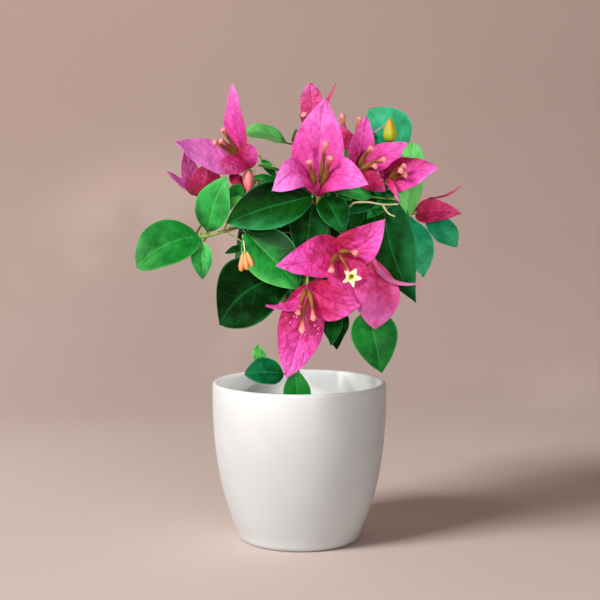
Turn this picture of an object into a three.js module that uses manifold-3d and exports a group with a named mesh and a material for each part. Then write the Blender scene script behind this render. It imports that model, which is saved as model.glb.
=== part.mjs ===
// A young bougainvillea in a plain glazed pot: one woody stem, its boughs, the leaf masses round their
// ends and the heads of three coloured bracts that stand out of the crown.
// Millimetres, +Z up. The origin is the centre of the pot's flat underside; the fullest side faces -Y.
import * as THREE from "three";
import { mergeVertices } from "three/addons/utils/BufferGeometryUtils.js";
import Module from "manifold-3d";

const wasm = await Module();
wasm.setup();

// ---------------------------------------------------------------- driving dimensions
const GAP = 0.4; // clear space between pieces that lie face to face
const ROOM = 0.8; // how much fatter a piece is taken to be when it cuts a later one
const POT = { height: 110, radius: 60, taper: 19.6, taperPower: 2.7, wall: 4, floor: 6, lip: 2, fillet: 5.5 };
const SOIL_TOP = 84;
const FORK = [-2, 0, 150]; // where the stem divides into its boughs
const STEM = { flare: 5.5, foot: 3.4, top: 2.6 };
const BOUGH = { root: 2.3, end: 1.4, reach: 0.9, bendAt: 0.45, sag: 0.35 }; // shares of its length
const SHOOT = { root: 1.5, end: 1.0 };
const BRACT = { thickness: 3, slender: 0.58, fold: 0.06 };
const LEAF = { thickness: 6, bow: 0.07, fold: 0.08 };
// The blunt stalk end of a bract head or a leaf mass, and how far it reaches inside each.
const NECK = { length: 6, radius: 1.5, widens: 1.6, inHead: 3.6, leafRadius: 1.2, inLeaf: 4.8 };
const UNEVEN = 0.22; // how far an inner mass swells and sinks, as a share of its size

const COLOURS = {
  glaze: { color: 0xe9e6e0, roughness: 0.45 },
  soil: { color: 0x3b2a1e, roughness: 0.95 },
  bark: { color: 0x6f5a3a, roughness: 0.85 },
  bract: { color: 0xdc3fa0, roughness: 0.6 },
  leaf: { color: 0x1d7a3a, roughness: 0.5 },
  darkLeaf: { color: 0x0f4a22, roughness: 0.5 },
};

// Bract heads: the heel where the three bracts meet, then one row for each bract: the azimuth, rise
// and length to its tip, the azimuth and rise that its inner side faces, how far it arches that way,
// and how far it bends to one side, both as shares of its length. Azimuth 0 is +X and 90 is +Y,
// away from the front, in degrees.
const HEADS = {
  top_left: {
    heel: [-35, -22, 258],
    bracts: [
      [168, 78, 54, -145, 5, 0.06, 0],
      [-161, 17, 52, -80, 42, -0.04, 0],
      [-100, 16, 46, 180, 45, -0.1, 0],
    ],
  },
  low_left: {
    heel: [-69, -4, 238],
    bracts: [
      [-57, 42, 32, 120, 20, -0.14, 0],
      [-151, 71, 32, -65, 10, -0.05, 0],
      [-143, 32, 29, -90, 75, 0, 0],
    ],
  },
  crest: {
    heel: [10, 24, 283],
    bracts: [
      [-120, 78, 32, -85, 10, -0.05, 0],
      [28, 62, 37, 175, 5, -0.05, 0],
      [100, 30, 32, 0, 80, 0, 0],
    ],
  },
  front_high: {
    heel: [12, -50, 238],
    bracts: [
      [70, 77, 66, -92, 0, -0.04, 0],
      [-140, 8, 41, -68, 28, 0.2, -0.15],
      [-40, 12, 46, -112, 28, 0.2, 0.15],
    ],
  },
  shoulder: {
    heel: [36, 8, 261],
    bracts: [
      [-148, 58, 32, -70, 10, -0.05, 0],
      [10, 44, 38, 0, 88, 0.1, 0],
      [95, 30, 36, -90, 70, 0, 0],
    ],
  },
  right_front: {
    heel: [38, -30, 255],
    bracts: [
      [45, 75, 37, -115, 5, -0.05, 0],
      [-15, 27, 39, -105, 20, 0.05, 0],
      [-64, -24, 34, 170, 40, 0, 0],
    ],
  },
  right_side: {
    heel: [57, -31, 248],
    bracts: [
      [-17, 15, 37, -95, 30, 0.06, 0],
      [-77, -26, 32, 175, 35, 0.05, 0],
      [68, 40, 32, -90, 45, 0, 0],
    ],
  },
  far_right: {
    heel: [80, 5, 226],
    bracts: [
      [-19, -1, 32, -78, 22, 0.12, 0],
      [15, 34, 37, 0, 85, -0.14, 0],
      [72, 8, 36, -90, 80, 0, 0],
    ],
  },
  front_middle: {
    heel: [24, -62, 203],
    bracts: [
      [-152, -9, 46, -95, 15, 0.08, 0.08],
      [-18, 31, 42, -95, 0, 0.05, -0.06],
      [-60, -50, 46, -88, 30, 0.08, 0],
    ],
  },
  front_side: {
    heel: [48, -44, 200],
    bracts: [
      [-87, -66, 51, -92, 10, 0.04, 0.04],
      [-22, -24, 43, 0, 85, -0.2, 0],
      [-160, 60, 22, -90, 0, 0, 0],
    ],
  },
  front_low: {
    heel: [5, -71, 183],
    bracts: [
      [-142, -74, 61, -92, 5, 0, 0.03],
      [-34, -15, 42, -92, -12, 0.06, -0.06],
      [-139, -15, 36, -80, 72, -0.12, 0],
    ],
  },
};

// Leaf masses: base, azimuth, rise and length of the chord to the tip, width, and the azimuth and rise
// that the upper side faces; sweep bends one sideways. Each is a spray with its largest leaf's outline.
const SPRAYS = {
  left_tip: { base: [-66, -32, 211], to: [-166, -24, 46], width: 31, faces: [-90, 40] },
  left_upper: { base: [-61, -32, 215], to: [-42, 65, 40], width: 25, faces: [-100, 20] },
  left_lower: { base: [-65, -34, 208], to: [-81, -63, 28], width: 15, faces: [-90, 20] },
  upper_left: { base: [-8, 5, 273], to: [-161, 13, 32], width: 24, faces: [-75, 50] },
  upper_right: { base: [71, 25, 258], to: [-163, 58, 46], width: 40, faces: [-75, 25] },
  right_back: { base: [73, -8, 224], to: [35, 84, 50], width: 20, faces: [-80, 10] },
  right_hanging: { base: [74, -10, 224], to: [-54, -68, 43], width: 22, faces: [-60, 20] },
  right_tip: { base: [86, 10, 223], to: [-21, -40, 31], width: 21, faces: [-70, 40] },
  right_long: { base: [56, -25, 238], to: [-34, -70, 74], width: 33, faces: [-80, 15], sweep: -0.08 },
  centre_left: { base: [9, -46, 238], to: [-172, -16, 59], width: 32, faces: [-90, 25] },
  centre_low: { base: [8, -48, 234], to: [-115, -74, 41], width: 25, faces: [-88, 12] },
  centre_right: { base: [16, -50, 238], to: [-48, -52, 31], width: 21, faces: [-80, 35] },
  centre_high: { base: [47, -38, 238], to: [-166, 8, 28], width: 15, faces: [-95, 45] },
  low_left: { base: [1, -46, 184], to: [-159, -27, 63], width: 42, faces: [-92, 18], sweep: -0.11 },
  middle_left: { base: [-35, -49, 215], to: [-18, -44, 51], width: 31, faces: [-98, 30] },
  low_right: { base: [46, -32, 162], to: [-52, -71, 42], width: 31, faces: [-88, 12] },
  low_middle: { base: [25, -25, 164], to: [-95, -69, 29], width: 17, faces: [-110, 10] },
  pot_left: { base: [-11, -12, 121], to: [-163, -3, 28], width: 18, faces: [-90, 45] },
  pot_front: { base: [0, -15, 94], to: [-138, 81, 29], width: 19, faces: [-95, 10] },
  pot_shoot: { base: [-26, -10, 124], to: [-143, 75, 13], width: 9, faces: [-100, 10] },
};

// The inner masses, dark with shade, that the heads and sprays stand on: centre and half sizes.
const HEARTS = {
  left: { centre: [-27, -12, 226], half: [21, 20, 20] },
  front: { centre: [20, -33, 212], half: [20, 15, 25] },
  right: { centre: [54, 0, 226], half: [20, 20, 20] },
  top: { centre: [16, 8, 256], half: [25, 18, 16] },
  low: { centre: [38, -12, 180], half: [19, 15, 14] },
  back: { centre: [8, 40, 212], half: [28, 16, 26] },
};

// ---------------------------------------------------------------- directions and noise
const vec = (p) => new THREE.Vector3(...p);

function direction(azimuth, rise) {
  const a = THREE.MathUtils.degToRad(azimuth);
  const r = THREE.MathUtils.degToRad(rise);
  return new THREE.Vector3(Math.cos(a) * Math.cos(r), Math.sin(a) * Math.cos(r), Math.sin(r));
}

// A smooth, repeatable unevenness between -1 and 1 for a direction on a mass.
function unevenness(d, phase) {
  const broad = Math.sin(3.1 * d.x + 2.3 * d.y + phase);
  const middling = Math.sin(4.3 * d.y - 3.7 * d.z + 1.7 * phase);
  const fine = Math.sin(5.9 * d.z + 4.1 * d.x + 2.9 * phase);
  return 0.4 * broad + 0.35 * middling + 0.25 * fine;
}

// ---------------------------------------------------------------- solids
function closed(geometry) {
  geometry.deleteAttribute("normal");
  geometry.deleteAttribute("uv");
  return mergeVertices(geometry, 1e-3);
}

function manifoldOf(geometry) {
  return new wasm.Manifold(
    new wasm.Mesh({
      numProp: 3,
      vertProperties: new Float32Array(geometry.attributes.position.array),
      triVerts: new Uint32Array(geometry.index.array),
    }),
  );
}

// Moves every vertex of a unit geometry by a rule.
function reshape(geometry, rule) {
  const place = geometry.attributes.position;
  for (let i = 0; i < place.count; i++) {
    const p = rule(new THREE.Vector3().fromBufferAttribute(place, i));
    place.setXYZ(i, p.x, p.y, p.z);
  }
  return closed(geometry);
}

// Half width along a leaf or bract, 0 at the heel and the tip and 1 at its widest.
function bladeWidth(t) {
  const widest = 0.42;
  const rise = 0.62;
  const fall = (rise * (1 - widest)) / widest;
  const shape = (u) => Math.pow(u, rise) * Math.pow(1 - u, fall);
  return shape(t) / shape(widest);
}

// A thick ovate blade from its heel to a sharp tip, bowed along its length and folded at its midrib.
function blade({ heel, along, faces, length, width, thickness, bow, sweep, fold }, room) {
  const up = faces.clone().addScaledVector(along, -faces.dot(along)).normalize();
  const side = new THREE.Vector3().crossVectors(up, along);
  return reshape(new THREE.SphereGeometry(1, 4, 5), (p) => {
    const t = (1 - p.y) / 2;
    const ring = Math.hypot(p.x, p.z);
    const isEnd = ring < 1e-6;
    const across = isEnd ? 0 : (p.x / ring) * bladeWidth(t);
    const through = isEnd ? 0 : p.z / ring;
    const halfThickness = (thickness / 2) * Math.sqrt(bladeWidth(t)) + room;
    const arch = 4 * t * (1 - t) * length;
    const lift = bow * arch + fold * width * Math.abs(across) + halfThickness * through;
    const shift = sweep * arch + (across * width) / 2 + (isEnd ? 0 : (p.x / ring) * room);
    return vec(heel)
      .addScaledVector(along, t * length - p.y * room)
      .addScaledVector(side, shift)
      .addScaledVector(up, lift);
  });
}

// A tapering round limb along a smooth curve through its points, with flat ends.
function limb(points, radiusAt, room, sides = 6, steps = 4) {
  const curve = new THREE.CatmullRomCurve3(points.map(vec));
  const frames = curve.computeFrenetFrames(steps);
  return reshape(new THREE.CylinderGeometry(1, 1, 1, sides, steps), (p) => {
    const t = p.y + 0.5;
    const step = Math.round(t * steps);
    const beyond = step === 0 ? -room : step === steps ? room : 0;
    return curve
      .getPointAt(t)
      .addScaledVector(frames.tangents[step], beyond)
      .addScaledVector(frames.binormals[step], p.x * (radiusAt(t) + room))
      .addScaledVector(frames.normals[step], p.z * (radiusAt(t) + room));
  });
}

const taper = (root, end) => (t) => root + (end - root) * t;

// ---------------------------------------------------------------- sub-parts
function potGeometry() {
  const { height, radius, taper: drop, taperPower, wall, floor, lip, fillet } = POT;
  const outer = (z) => radius - drop * Math.pow((height - z) / height, taperPower);
  const profile = [new THREE.Vector2(0, 0)];
  const arc = (cx, cz, r, from, to, steps) => {
    for (let i = 0; i <= steps; i++) {
      const a = THREE.MathUtils.degToRad(from + ((to - from) * i) / steps);
      profile.push(new THREE.Vector2(cx + r * Math.cos(a), cz + r * Math.sin(a)));
    }
  };
  arc(outer(fillet) - fillet, fillet, fillet, -90, -15, 3);
  for (let i = 1; i <= 6; i++) {
    const z = fillet + ((height - lip - fillet) * i) / 6;
    profile.push(new THREE.Vector2(outer(z), z));
  }
  arc(radius - lip, height - lip, lip, 45, 135, 2);
  for (let i = 5; i >= 0; i--) {
    const z = floor + ((height - lip - floor) * i) / 5;
    profile.push(new THREE.Vector2(outer(z) - wall, z));
  }
  profile.push(new THREE.Vector2(0, floor));
  return closed(new THREE.LatheGeometry(profile, 30).rotateX(Math.PI / 2));
}

function soilGeometry() {
  const inner = (z) => POT.radius - POT.taper * Math.pow((POT.height - z) / POT.height, POT.taperPower);
  const bottom = POT.floor + 2 * GAP;
  const profile = [new THREE.Vector2(0, bottom)];
  for (let i = 0; i <= 4; i++) {
    const z = bottom + ((SOIL_TOP - bottom) * i) / 4;
    profile.push(new THREE.Vector2(inner(z) - POT.wall - 3 * GAP, z));
  }
  profile.push(new THREE.Vector2(0, SOIL_TOP));
  return closed(new THREE.LatheGeometry(profile, 24).rotateX(Math.PI / 2));
}

function stemSolids(room) {
  const foot = SOIL_TOP + GAP;
  const radiusAt = (t) => {
    const flare = (STEM.flare - STEM.foot) * Math.pow(1 - t, 6);
    return STEM.foot + (STEM.top - STEM.foot) * t + flare;
  };
  const stem = limb([[1, 1, foot], [0, 0, foot + 9], [-3, 0, 118], FORK], radiusAt, room, 8, 8);
  const place = stem.attributes.position;
  for (let i = 0; i < place.count; i++) {
    if (place.getZ(i) < foot + 1.5) place.setZ(i, foot); // the flat cut at soil level
  }
  return [stem];
}

// Three bracts round a heel, on a blunt stalk end behind it.
function headSolids({ heel, bracts }, room) {
  const axis = new THREE.Vector3();
  for (const [azimuth, rise] of bracts) axis.add(direction(azimuth, rise));
  axis.normalize();
  const root = vec(heel).addScaledVector(axis, -NECK.length).toArray();
  const top = vec(heel).addScaledVector(axis, NECK.inHead).toArray();
  const neck = limb([root, top], taper(NECK.radius, NECK.widens * NECK.radius), room, 4, 1);
  const blades = bracts.map(([azimuth, rise, length, faceAzimuth, faceRise, bow, sweep]) => {
    const along = direction(azimuth, rise);
    const faces = direction(faceAzimuth, faceRise);
    const width = length * BRACT.slender;
    return blade({ ...BRACT, heel, along, faces, length, width, bow, sweep }, room);
  });
  return [neck, ...blades];
}

// One leaf mass: the outline of its largest leaf, thick enough for the spray, on a blunt stalk end.
function spraySolids({ base, to: [azimuth, rise, length], width, faces, sweep = 0 }, room) {
  const along = direction(azimuth, rise);
  const thickness = Math.min(LEAF.thickness, width / 3);
  const root = vec(base).addScaledVector(along, -NECK.length).toArray();
  const top = vec(base).addScaledVector(along, NECK.inLeaf).toArray();
  const neck = limb([root, top], taper(NECK.leafRadius, NECK.radius), room, 4, 1);
  const up = direction(...faces);
  const body = blade({ ...LEAF, heel: base, along, faces: up, length, width, thickness, sweep }, room);
  return [neck, body];
}

function heartSolids({ centre, half }, phase, room) {
  const mass = reshape(new THREE.SphereGeometry(1, 11, 8), (d) => {
    const swell = 1 + UNEVEN * unevenness(d, phase);
    return d.clone().multiply(vec(half)).multiplyScalar(swell).addScaledVector(d, room).add(vec(centre));
  });
  return [mass];
}

// ---------------------------------------------------------------- boughs
const partWay = (from, to, share) => vec(from).lerp(vec(to), share).toArray();

// From the fork to just inside each inner mass, with a little sag near the fork.
function boughPoints(heart) {
  const end = partWay(FORK, heart.centre, BOUGH.reach);
  const middle = partWay(FORK, heart.centre, BOUGH.bendAt);
  const spread = vec(middle).sub(vec(FORK)).setZ(0).multiplyScalar(BOUGH.sag);
  return [FORK, vec(middle).add(spread).toArray(), end];
}

const SHOOTS = {
  left: [[-36, -33, 219], [-50, -35, 215], [-60, -33, 212]],
  top_left: [[-26, -18, 238], [-31, -22, 246], [-34, -22, 252]],
  low_pot: [[-1, -4, 87], [-2, -8, 100], [-6, -11, 116]],
};

// ---------------------------------------------------------------- the back of the crown
// Heads and sprays alternate over the back by the golden angle, turned out from the crown's centre.
const BACK = {
  count: 10,
  centre: [12, 6, 214],
  reach: [40, 56, 44],
  azimuths: [30, 150],
  rises: [-38, 42],
  open: 58, // how far each bract leans out from the way its head faces, in degrees
  upright: 0.8, // the same for the rise, as a share of it
  turn: 47, // how far each head is turned from the one before it
  bract: { length: 42, shorter: 3, bow: -0.05 }, // each bract in a head is shorter than the one before
  leaf: { length: 44, longer: 3, slender: 0.62, spread: 14, droop: 42, faceRise: 35 },
};

function backPlaces() {
  const golden = 0.618034;
  const between = ([from, to], share) => from + (to - from) * share;
  return Array.from({ length: BACK.count }, (_, i) => {
    const azimuth = between(BACK.azimuths, (i + 0.5) / BACK.count);
    const rise = between(BACK.rises, (0.35 + i * golden) % 1);
    const base = direction(azimuth, rise).multiply(vec(BACK.reach)).add(vec(BACK.centre));
    return { azimuth, rise, base: base.toArray(), isHead: i % 2 === 0 };
  });
}

const backHead = ({ azimuth, rise, base }, i) => ({
  heel: base,
  bracts: [0, 1, 2].map((k) => {
    const turn = THREE.MathUtils.degToRad(120 * k + BACK.turn * i + 30);
    const sideways = BACK.open * Math.cos(turn);
    const upwards = BACK.upright * BACK.open * Math.sin(turn);
    const length = BACK.bract.length - BACK.bract.shorter * k;
    return [azimuth + sideways, rise + upwards, length, azimuth, rise, BACK.bract.bow, 0];
  }),
});

const backSpray = ({ azimuth, rise, base }, i) => ({
  base,
  to: [
    azimuth + ((i % 3) - 1) * BACK.leaf.spread,
    rise - BACK.leaf.droop,
    BACK.leaf.length + (i % 4) * BACK.leaf.longer,
  ],
  width: BACK.leaf.slender * BACK.leaf.length,
  faces: [azimuth, BACK.leaf.faceRise],
});

// ---------------------------------------------------------------- assembly
const plant = new THREE.Group();
const placed = []; // the room that each piece already there takes up, cut from the later ones

function solidOf(geometries) {
  return geometries.map(manifoldOf).reduce((joined, next) => joined.add(next));
}

// Builds one sub-part, cuts it clear of the ones before it and hangs it in the group.
function add(name, look, build) {
  const whole = solidOf(build(0));
  const clear = placed.reduce((left, other) => left.subtract(other), whole);
  const body = clear.decompose().sort((a, b) => b.volume() - a.volume())[0];
  placed.push(solidOf(build(ROOM)));
  const made = body.getMesh();
  const geometry = new THREE.BufferGeometry()
    .setAttribute("position", new THREE.BufferAttribute(made.vertProperties.slice(), 3))
    .setIndex(new THREE.BufferAttribute(made.triVerts.slice(), 1));
  const mesh = new THREE.Mesh(geometry, new THREE.MeshStandardMaterial({ metalness: 0, ...COLOURS[look] }));
  mesh.name = name;
  plant.add(mesh);
}

add("pot", "glaze", () => [potGeometry()]);
add("soil", "soil", () => [soilGeometry()]);
add("stem", "bark", stemSolids);
Object.entries(HEARTS).forEach(([name, heart], i) => {
  add("heart_" + name, "darkLeaf", (room) => heartSolids(heart, i, room));
});
for (const [name, heart] of Object.entries(HEARTS)) {
  add("bough_" + name, "bark", (room) => [limb(boughPoints(heart), taper(BOUGH.root, BOUGH.end), room)]);
}
for (const [name, points] of Object.entries(SHOOTS)) {
  add("shoot_" + name, "bark", (room) => [limb(points, taper(SHOOT.root, SHOOT.end), room)]);
}
for (const [name, head] of Object.entries(HEADS)) {
  add("head_" + name, "bract", (room) => headSolids(head, room));
}
for (const [name, spray] of Object.entries(SPRAYS)) {
  add("spray_" + name, "leaf", (room) => spraySolids(spray, room));
}
backPlaces().forEach((place, i) => {
  if (place.isHead) add("head_back_" + (i + 1), "bract", (room) => headSolids(backHead(place, i), room));
  else add("spray_back_" + (i + 1), "leaf", (room) => spraySolids(backSpray(place, i), room));
});

export default plant;
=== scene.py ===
# %% [markdown]
# # A small bougainvillea in a white pot
# This file builds the looks of a potted bougainvillea round a finished CAD model of it. The CAD model
# fixes where the pot, the stem, each bough, each head of bracts and each leaf is. Here each of those
# plain solids is replaced by the real thing: papery bracts, veined leaves, bark, soil and glaze.
# The cells run from top to bottom. Lengths are in metres, +Z is up and -Y faces the viewer.

# %% Load the frame
import math
import random
from dataclasses import dataclass
from functools import partial

import bmesh
import bpy
from mathutils import Matrix, Vector, noise


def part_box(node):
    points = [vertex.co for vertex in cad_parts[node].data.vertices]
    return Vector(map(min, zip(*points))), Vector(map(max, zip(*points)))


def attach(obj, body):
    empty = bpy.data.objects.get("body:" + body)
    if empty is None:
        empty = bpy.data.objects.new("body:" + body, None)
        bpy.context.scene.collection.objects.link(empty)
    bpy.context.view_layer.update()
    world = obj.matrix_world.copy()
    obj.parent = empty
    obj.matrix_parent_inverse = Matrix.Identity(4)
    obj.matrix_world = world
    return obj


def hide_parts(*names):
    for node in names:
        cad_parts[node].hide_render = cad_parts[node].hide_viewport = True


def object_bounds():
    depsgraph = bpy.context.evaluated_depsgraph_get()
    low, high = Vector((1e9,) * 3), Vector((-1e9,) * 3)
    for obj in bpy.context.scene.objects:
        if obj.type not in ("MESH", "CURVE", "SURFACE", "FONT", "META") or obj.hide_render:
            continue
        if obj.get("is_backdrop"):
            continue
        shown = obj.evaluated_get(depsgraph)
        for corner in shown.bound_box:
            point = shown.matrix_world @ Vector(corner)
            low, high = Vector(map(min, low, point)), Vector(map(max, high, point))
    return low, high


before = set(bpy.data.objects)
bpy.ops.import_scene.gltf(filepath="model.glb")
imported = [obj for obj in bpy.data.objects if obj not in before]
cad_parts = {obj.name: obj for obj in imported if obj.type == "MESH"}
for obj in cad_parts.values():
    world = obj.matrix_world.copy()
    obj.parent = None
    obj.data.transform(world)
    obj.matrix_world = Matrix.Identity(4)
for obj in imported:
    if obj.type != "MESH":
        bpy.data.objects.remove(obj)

MM = 0.001
UP = Vector((0, 0, 1))
BODY = "root"
cad_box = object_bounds()
print("CAD box", [[round(v, 4) for v in corner] for corner in cad_box])

# %% [markdown]
# ## Camera
# A plant on a table is seen here from about a metre away and a little above the rim, so that the near
# rim of the pot is lower than the far one. A long lens keeps the pot's sides from leaning. The camera
# could be aimed with a constraint, but plain numbers are easier to repeat.

# %% Camera
LENS = 85
CAMERA_PLACE = (0.0004, -0.970, 0.258)
LOOKS_DOWN = 5.4  # degrees below level
camera_data = bpy.data.cameras.new("camera")
camera_data.lens = LENS
camera_data.sensor_width = 36
camera = bpy.data.objects.new("camera", camera_data)
camera.location = CAMERA_PLACE
camera.rotation_euler = (math.radians(90 - LOOKS_DOWN), 0, 0)
bpy.context.scene.collection.objects.link(camera)
bpy.context.scene.camera = camera
print("camera", CAMERA_PLACE, "lens", LENS)

# %% [markdown]
# ## Points, directions and smooth paths
# A gardener describes a shoot by where it starts, which way it leans and how long it is. These small
# helpers do the same: a direction is an azimuth (0 is +X, 90 is away from the viewer) and a rise above
# the horizon. A stalk never bends at a corner, so a few points are joined by a Catmull-Rom curve,
# which passes through each of them. A Bezier curve object would do it too, but a list of points is
# easier to sweep a ring along.

# %% Points and directions
def place(x, y, z):
    """A point given in millimetres."""
    return Vector((x, y, z)) * MM


def aim(azimuth, rise):
    """The unit vector with that azimuth and rise, in degrees."""
    a = math.radians(azimuth)
    r = math.radians(rise)
    return Vector((math.cos(a) * math.cos(r), math.sin(a) * math.cos(r), math.sin(r)))


def smooth_path(points, steps):
    """A curve through the points, as that many steps between each pair."""
    ends = [2 * points[0] - points[1], *points, 2 * points[-1] - points[-2]]
    path = []
    for i in range(1, len(ends) - 2):
        a, b, c, d = ends[i - 1 : i + 3]
        for k in range(steps):
            t = k / steps
            bend = 2 * a - 5 * b + 4 * c - d
            swing = 3 * b - a - 3 * c + d
            path.append(0.5 * (2 * b + (c - a) * t + bend * t**2 + swing * t**3))
    path.append(points[-1].copy())
    return path


print("left is", [round(v, 2) for v in aim(180, 0)])

# %% [markdown]
# ## Turning a mesh into a piece
# Each piece is drawn in a bmesh, Blender's mesh workshop. When it is done its faces are pointed outwards
# and shaded smoothly up to a crease, and it becomes an object. The CAD solids that it stands for are
# hidden, and it rides on the plant's one body.

# %% Finishing a piece
def finish_piece(bm, name, materials, nodes=(), crease=50):
    """Makes the bmesh a piece that stands for those CAD nodes. Edges sharper than the crease stay sharp."""
    helper = bm.verts.layers.float_vector.get("lift")
    if helper:
        bm.verts.layers.float_vector.remove(helper)
    bmesh.ops.recalc_face_normals(bm, faces=bm.faces)
    for face in bm.faces:
        face.smooth = True
    for edge in bm.edges:
        edge.smooth = edge.calc_face_angle(0.0) < math.radians(crease)
    mesh = bpy.data.meshes.new(name)
    bm.to_mesh(mesh)
    bm.free()
    for material in materials:
        mesh.materials.append(material)
    piece = bpy.data.objects.new(name, mesh)
    bpy.context.scene.collection.objects.link(piece)
    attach(piece, BODY)
    if nodes:
        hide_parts(*nodes)
    print(name, sum(len(face.vertices) - 2 for face in mesh.polygons), "triangles")
    return piece


print("pieces will ride on", BODY)

# %% [markdown]
# ## Sweeping a round shoot
# Stems, stalks and flower tubes are all round and change their width along the way. One ring is made
# with create_circle, then extruded from point to point, and each new ring is turned to the path and
# scaled to the width there. Each vertex keeps how far along it is, from 0 to 1, so a material can
# change colour from the foot to the tip. A tube could also be a curve with a bevel, but a curve's
# vertices can't be given numbers of their own.

# %% Sweep
def layer(bm, name):
    """A number that each vertex carries, made when it is first asked for."""
    layers = bm.verts.layers.float
    return layers.get(name) or layers.new(name)


def ring_pose(point, spin, size):
    """Sizes and turns a ring, and sets it on the point."""
    return Matrix.Translation(point) @ spin.to_matrix().to_4x4() @ Matrix.Scale(size, 4)


def sweep(bm, path, radius_at, sides):
    """Extrudes a closed tube along the path. Returns its rings of vertices."""
    along = layer(bm, "along")
    last = len(path) - 1
    tangent = (path[1] - path[0]).normalized()
    spin = UP.rotation_difference(path[1] - path[0])
    before = ring_pose(path[0], spin, radius_at(0.0))
    ring = bmesh.ops.create_circle(bm, segments=sides, radius=1.0, matrix=before)["verts"]
    rings = [ring]
    bmesh.ops.contextual_create(bm, geom=ring)
    for i in range(1, last + 1):
        inside = set(ring)
        edges = {e for v in ring for e in v.link_edges if e.other_vert(v) in inside}
        grown = bmesh.ops.extrude_edge_only(bm, edges=list(edges))["geom"]
        ring = [part for part in grown if isinstance(part, bmesh.types.BMVert)]
        ahead = (path[min(i + 1, last)] - path[i - 1]).normalized()
        spin = tangent.rotation_difference(ahead) @ spin
        tangent = ahead
        after = ring_pose(path[i], spin, radius_at(i / last))
        bmesh.ops.transform(bm, matrix=after @ before.inverted(), verts=ring)
        before = after
        for v in ring:
            v[along] = i / last
        rings.append(ring)
    bmesh.ops.contextual_create(bm, geom=ring)
    return rings


def taper(thick, loss):
    """A radius in millimetres that loses that much on the way."""
    return lambda t: (thick - loss * t) * MM


trial = bmesh.new()
sweep(trial, smooth_path([place(0, 0, 0), place(0, 5, 20), place(0, 0, 40)], 4), taper(1, 0), 8)
print("a trial shoot has", len(trial.faces), "faces")
trial.free()

# %% [markdown]
# ## The blade: one rule for bracts and leaves
# A bract is a leaf that has turned papery and bright, so bracts and leaves share one rule. A blade is a
# sheet with a heel, a direction and a side that it faces. It is widest a little before the middle and
# runs out to a sharp tip. It arches along its length, folds at the midrib, may bend to one side, curl
# at the tip and ripple along its edges, and it is puckered between its side veins. It could be drawn
# point by point in the editor, but a grid with every vertex moved by a rule gives a hundred blades
# that are alike and never the same.

# %% The blade's rule
@dataclass
class Blade:
    heel: Vector
    along: Vector
    faces: Vector
    length: float
    width: float
    bow: float = 0.0  # arch towards the side it faces, as a share of the length
    bend: float = 0.0  # to one side, as a share of the length
    fold: float = 0.06  # how far the edges rise above the midrib, as a share of the width
    curl: float = 0.0  # how far the tip turns up, as a share of the length
    ripple: float = 0.0  # height of the waves along the edge, in millimetres
    waves: float = 5.0
    pucker: float = 0.0  # how far the sheet swells between its veins, in millimetres
    veins: float = 7.0
    slant: float = 0.32  # how far the side veins run forward on their way to the edge
    crumple: float = 0.0  # soft unevenness of the whole sheet, in millimetres
    blunt: float = 0.70  # how full the heel end is: smaller is fuller
    point: float = 1.0  # how drawn out the tip is: larger is longer
    # The tone below is partly the blade's own colour, partly painted shade (deeper) and painted light
    # (paler).
    tone: tuple = (0.0, 0.0)  # deeper (-1) or paler (+1) at the heel, at the tip and perhaps to one side
    seed: float = 0.0


def blade_width(t, blunt, point):
    """Half the width along a blade, 0 at its ends and 1 at its widest."""
    widest = blunt / (blunt + point)
    return t**blunt * (1 - t) ** point / (widest**blunt * (1 - widest) ** point)


def vein_flow(b, t, u):
    """Rises along the midrib; the side veins are its contours, which run forward to the edge."""
    wander = noise.noise(Vector((5.0 * t, 2.5 * u, 3.1 + b.seed)))
    return t - b.slant * abs(u) ** 1.2 + 0.06 * wander


def blade_point(b, t, u):
    """The place on the sheet a share t of the way along and u across, from -1 to 1."""
    up = (b.faces - b.along * b.faces.dot(b.along)).normalized()
    side = up.cross(b.along)
    half = 0.5 * b.width * blade_width(t, b.blunt, b.point)
    arch = 4 * t * (1 - t) * b.length
    lift = b.bow * arch + 2 * b.fold * half * abs(u)
    lift += b.curl * b.length * max(0.0, (t - 0.55) / 0.45) ** 2
    beat = b.waves * math.pi * t + b.seed + (1.3 if u > 0 else 0.0)
    lift += b.ripple * MM * u * u * math.sin(beat) * min(1.0, half / (0.2 * b.width))
    vein = abs(math.sin(math.pi * b.veins * vein_flow(b, t, u)))
    rib = math.exp(-((u / 0.08) ** 2))
    lift += b.pucker * MM * (vein**0.6 * (1 - u**4) - rib) * min(1.0, 8 * t * (1 - t))
    spot = Vector((3.0 * t, 1.3 * u, b.seed))
    crumple = b.crumple * MM
    lift += crumple * noise.noise(spot) + 0.5 * crumple * noise.noise(2.7 * spot)
    return b.heel + b.along * (t * b.length) + side * (u * half + b.bend * arch) + up * lift


print("widest at", max(range(101), key=lambda i: blade_width(i / 100, 0.7, 1.0)) / 100)

# %% [markdown]
# ## A blade's mesh
# The sheet starts as a flat grid. Its two short ends are drawn together into the heel and the tip, and
# the whole is extruded by a few tenths of a millimetre, because a real blade has an edge and an
# underside. The underside takes its own material. The grid could be thickened by a Solidify modifier,
# but then both sides would need sorting out afterwards.

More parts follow.
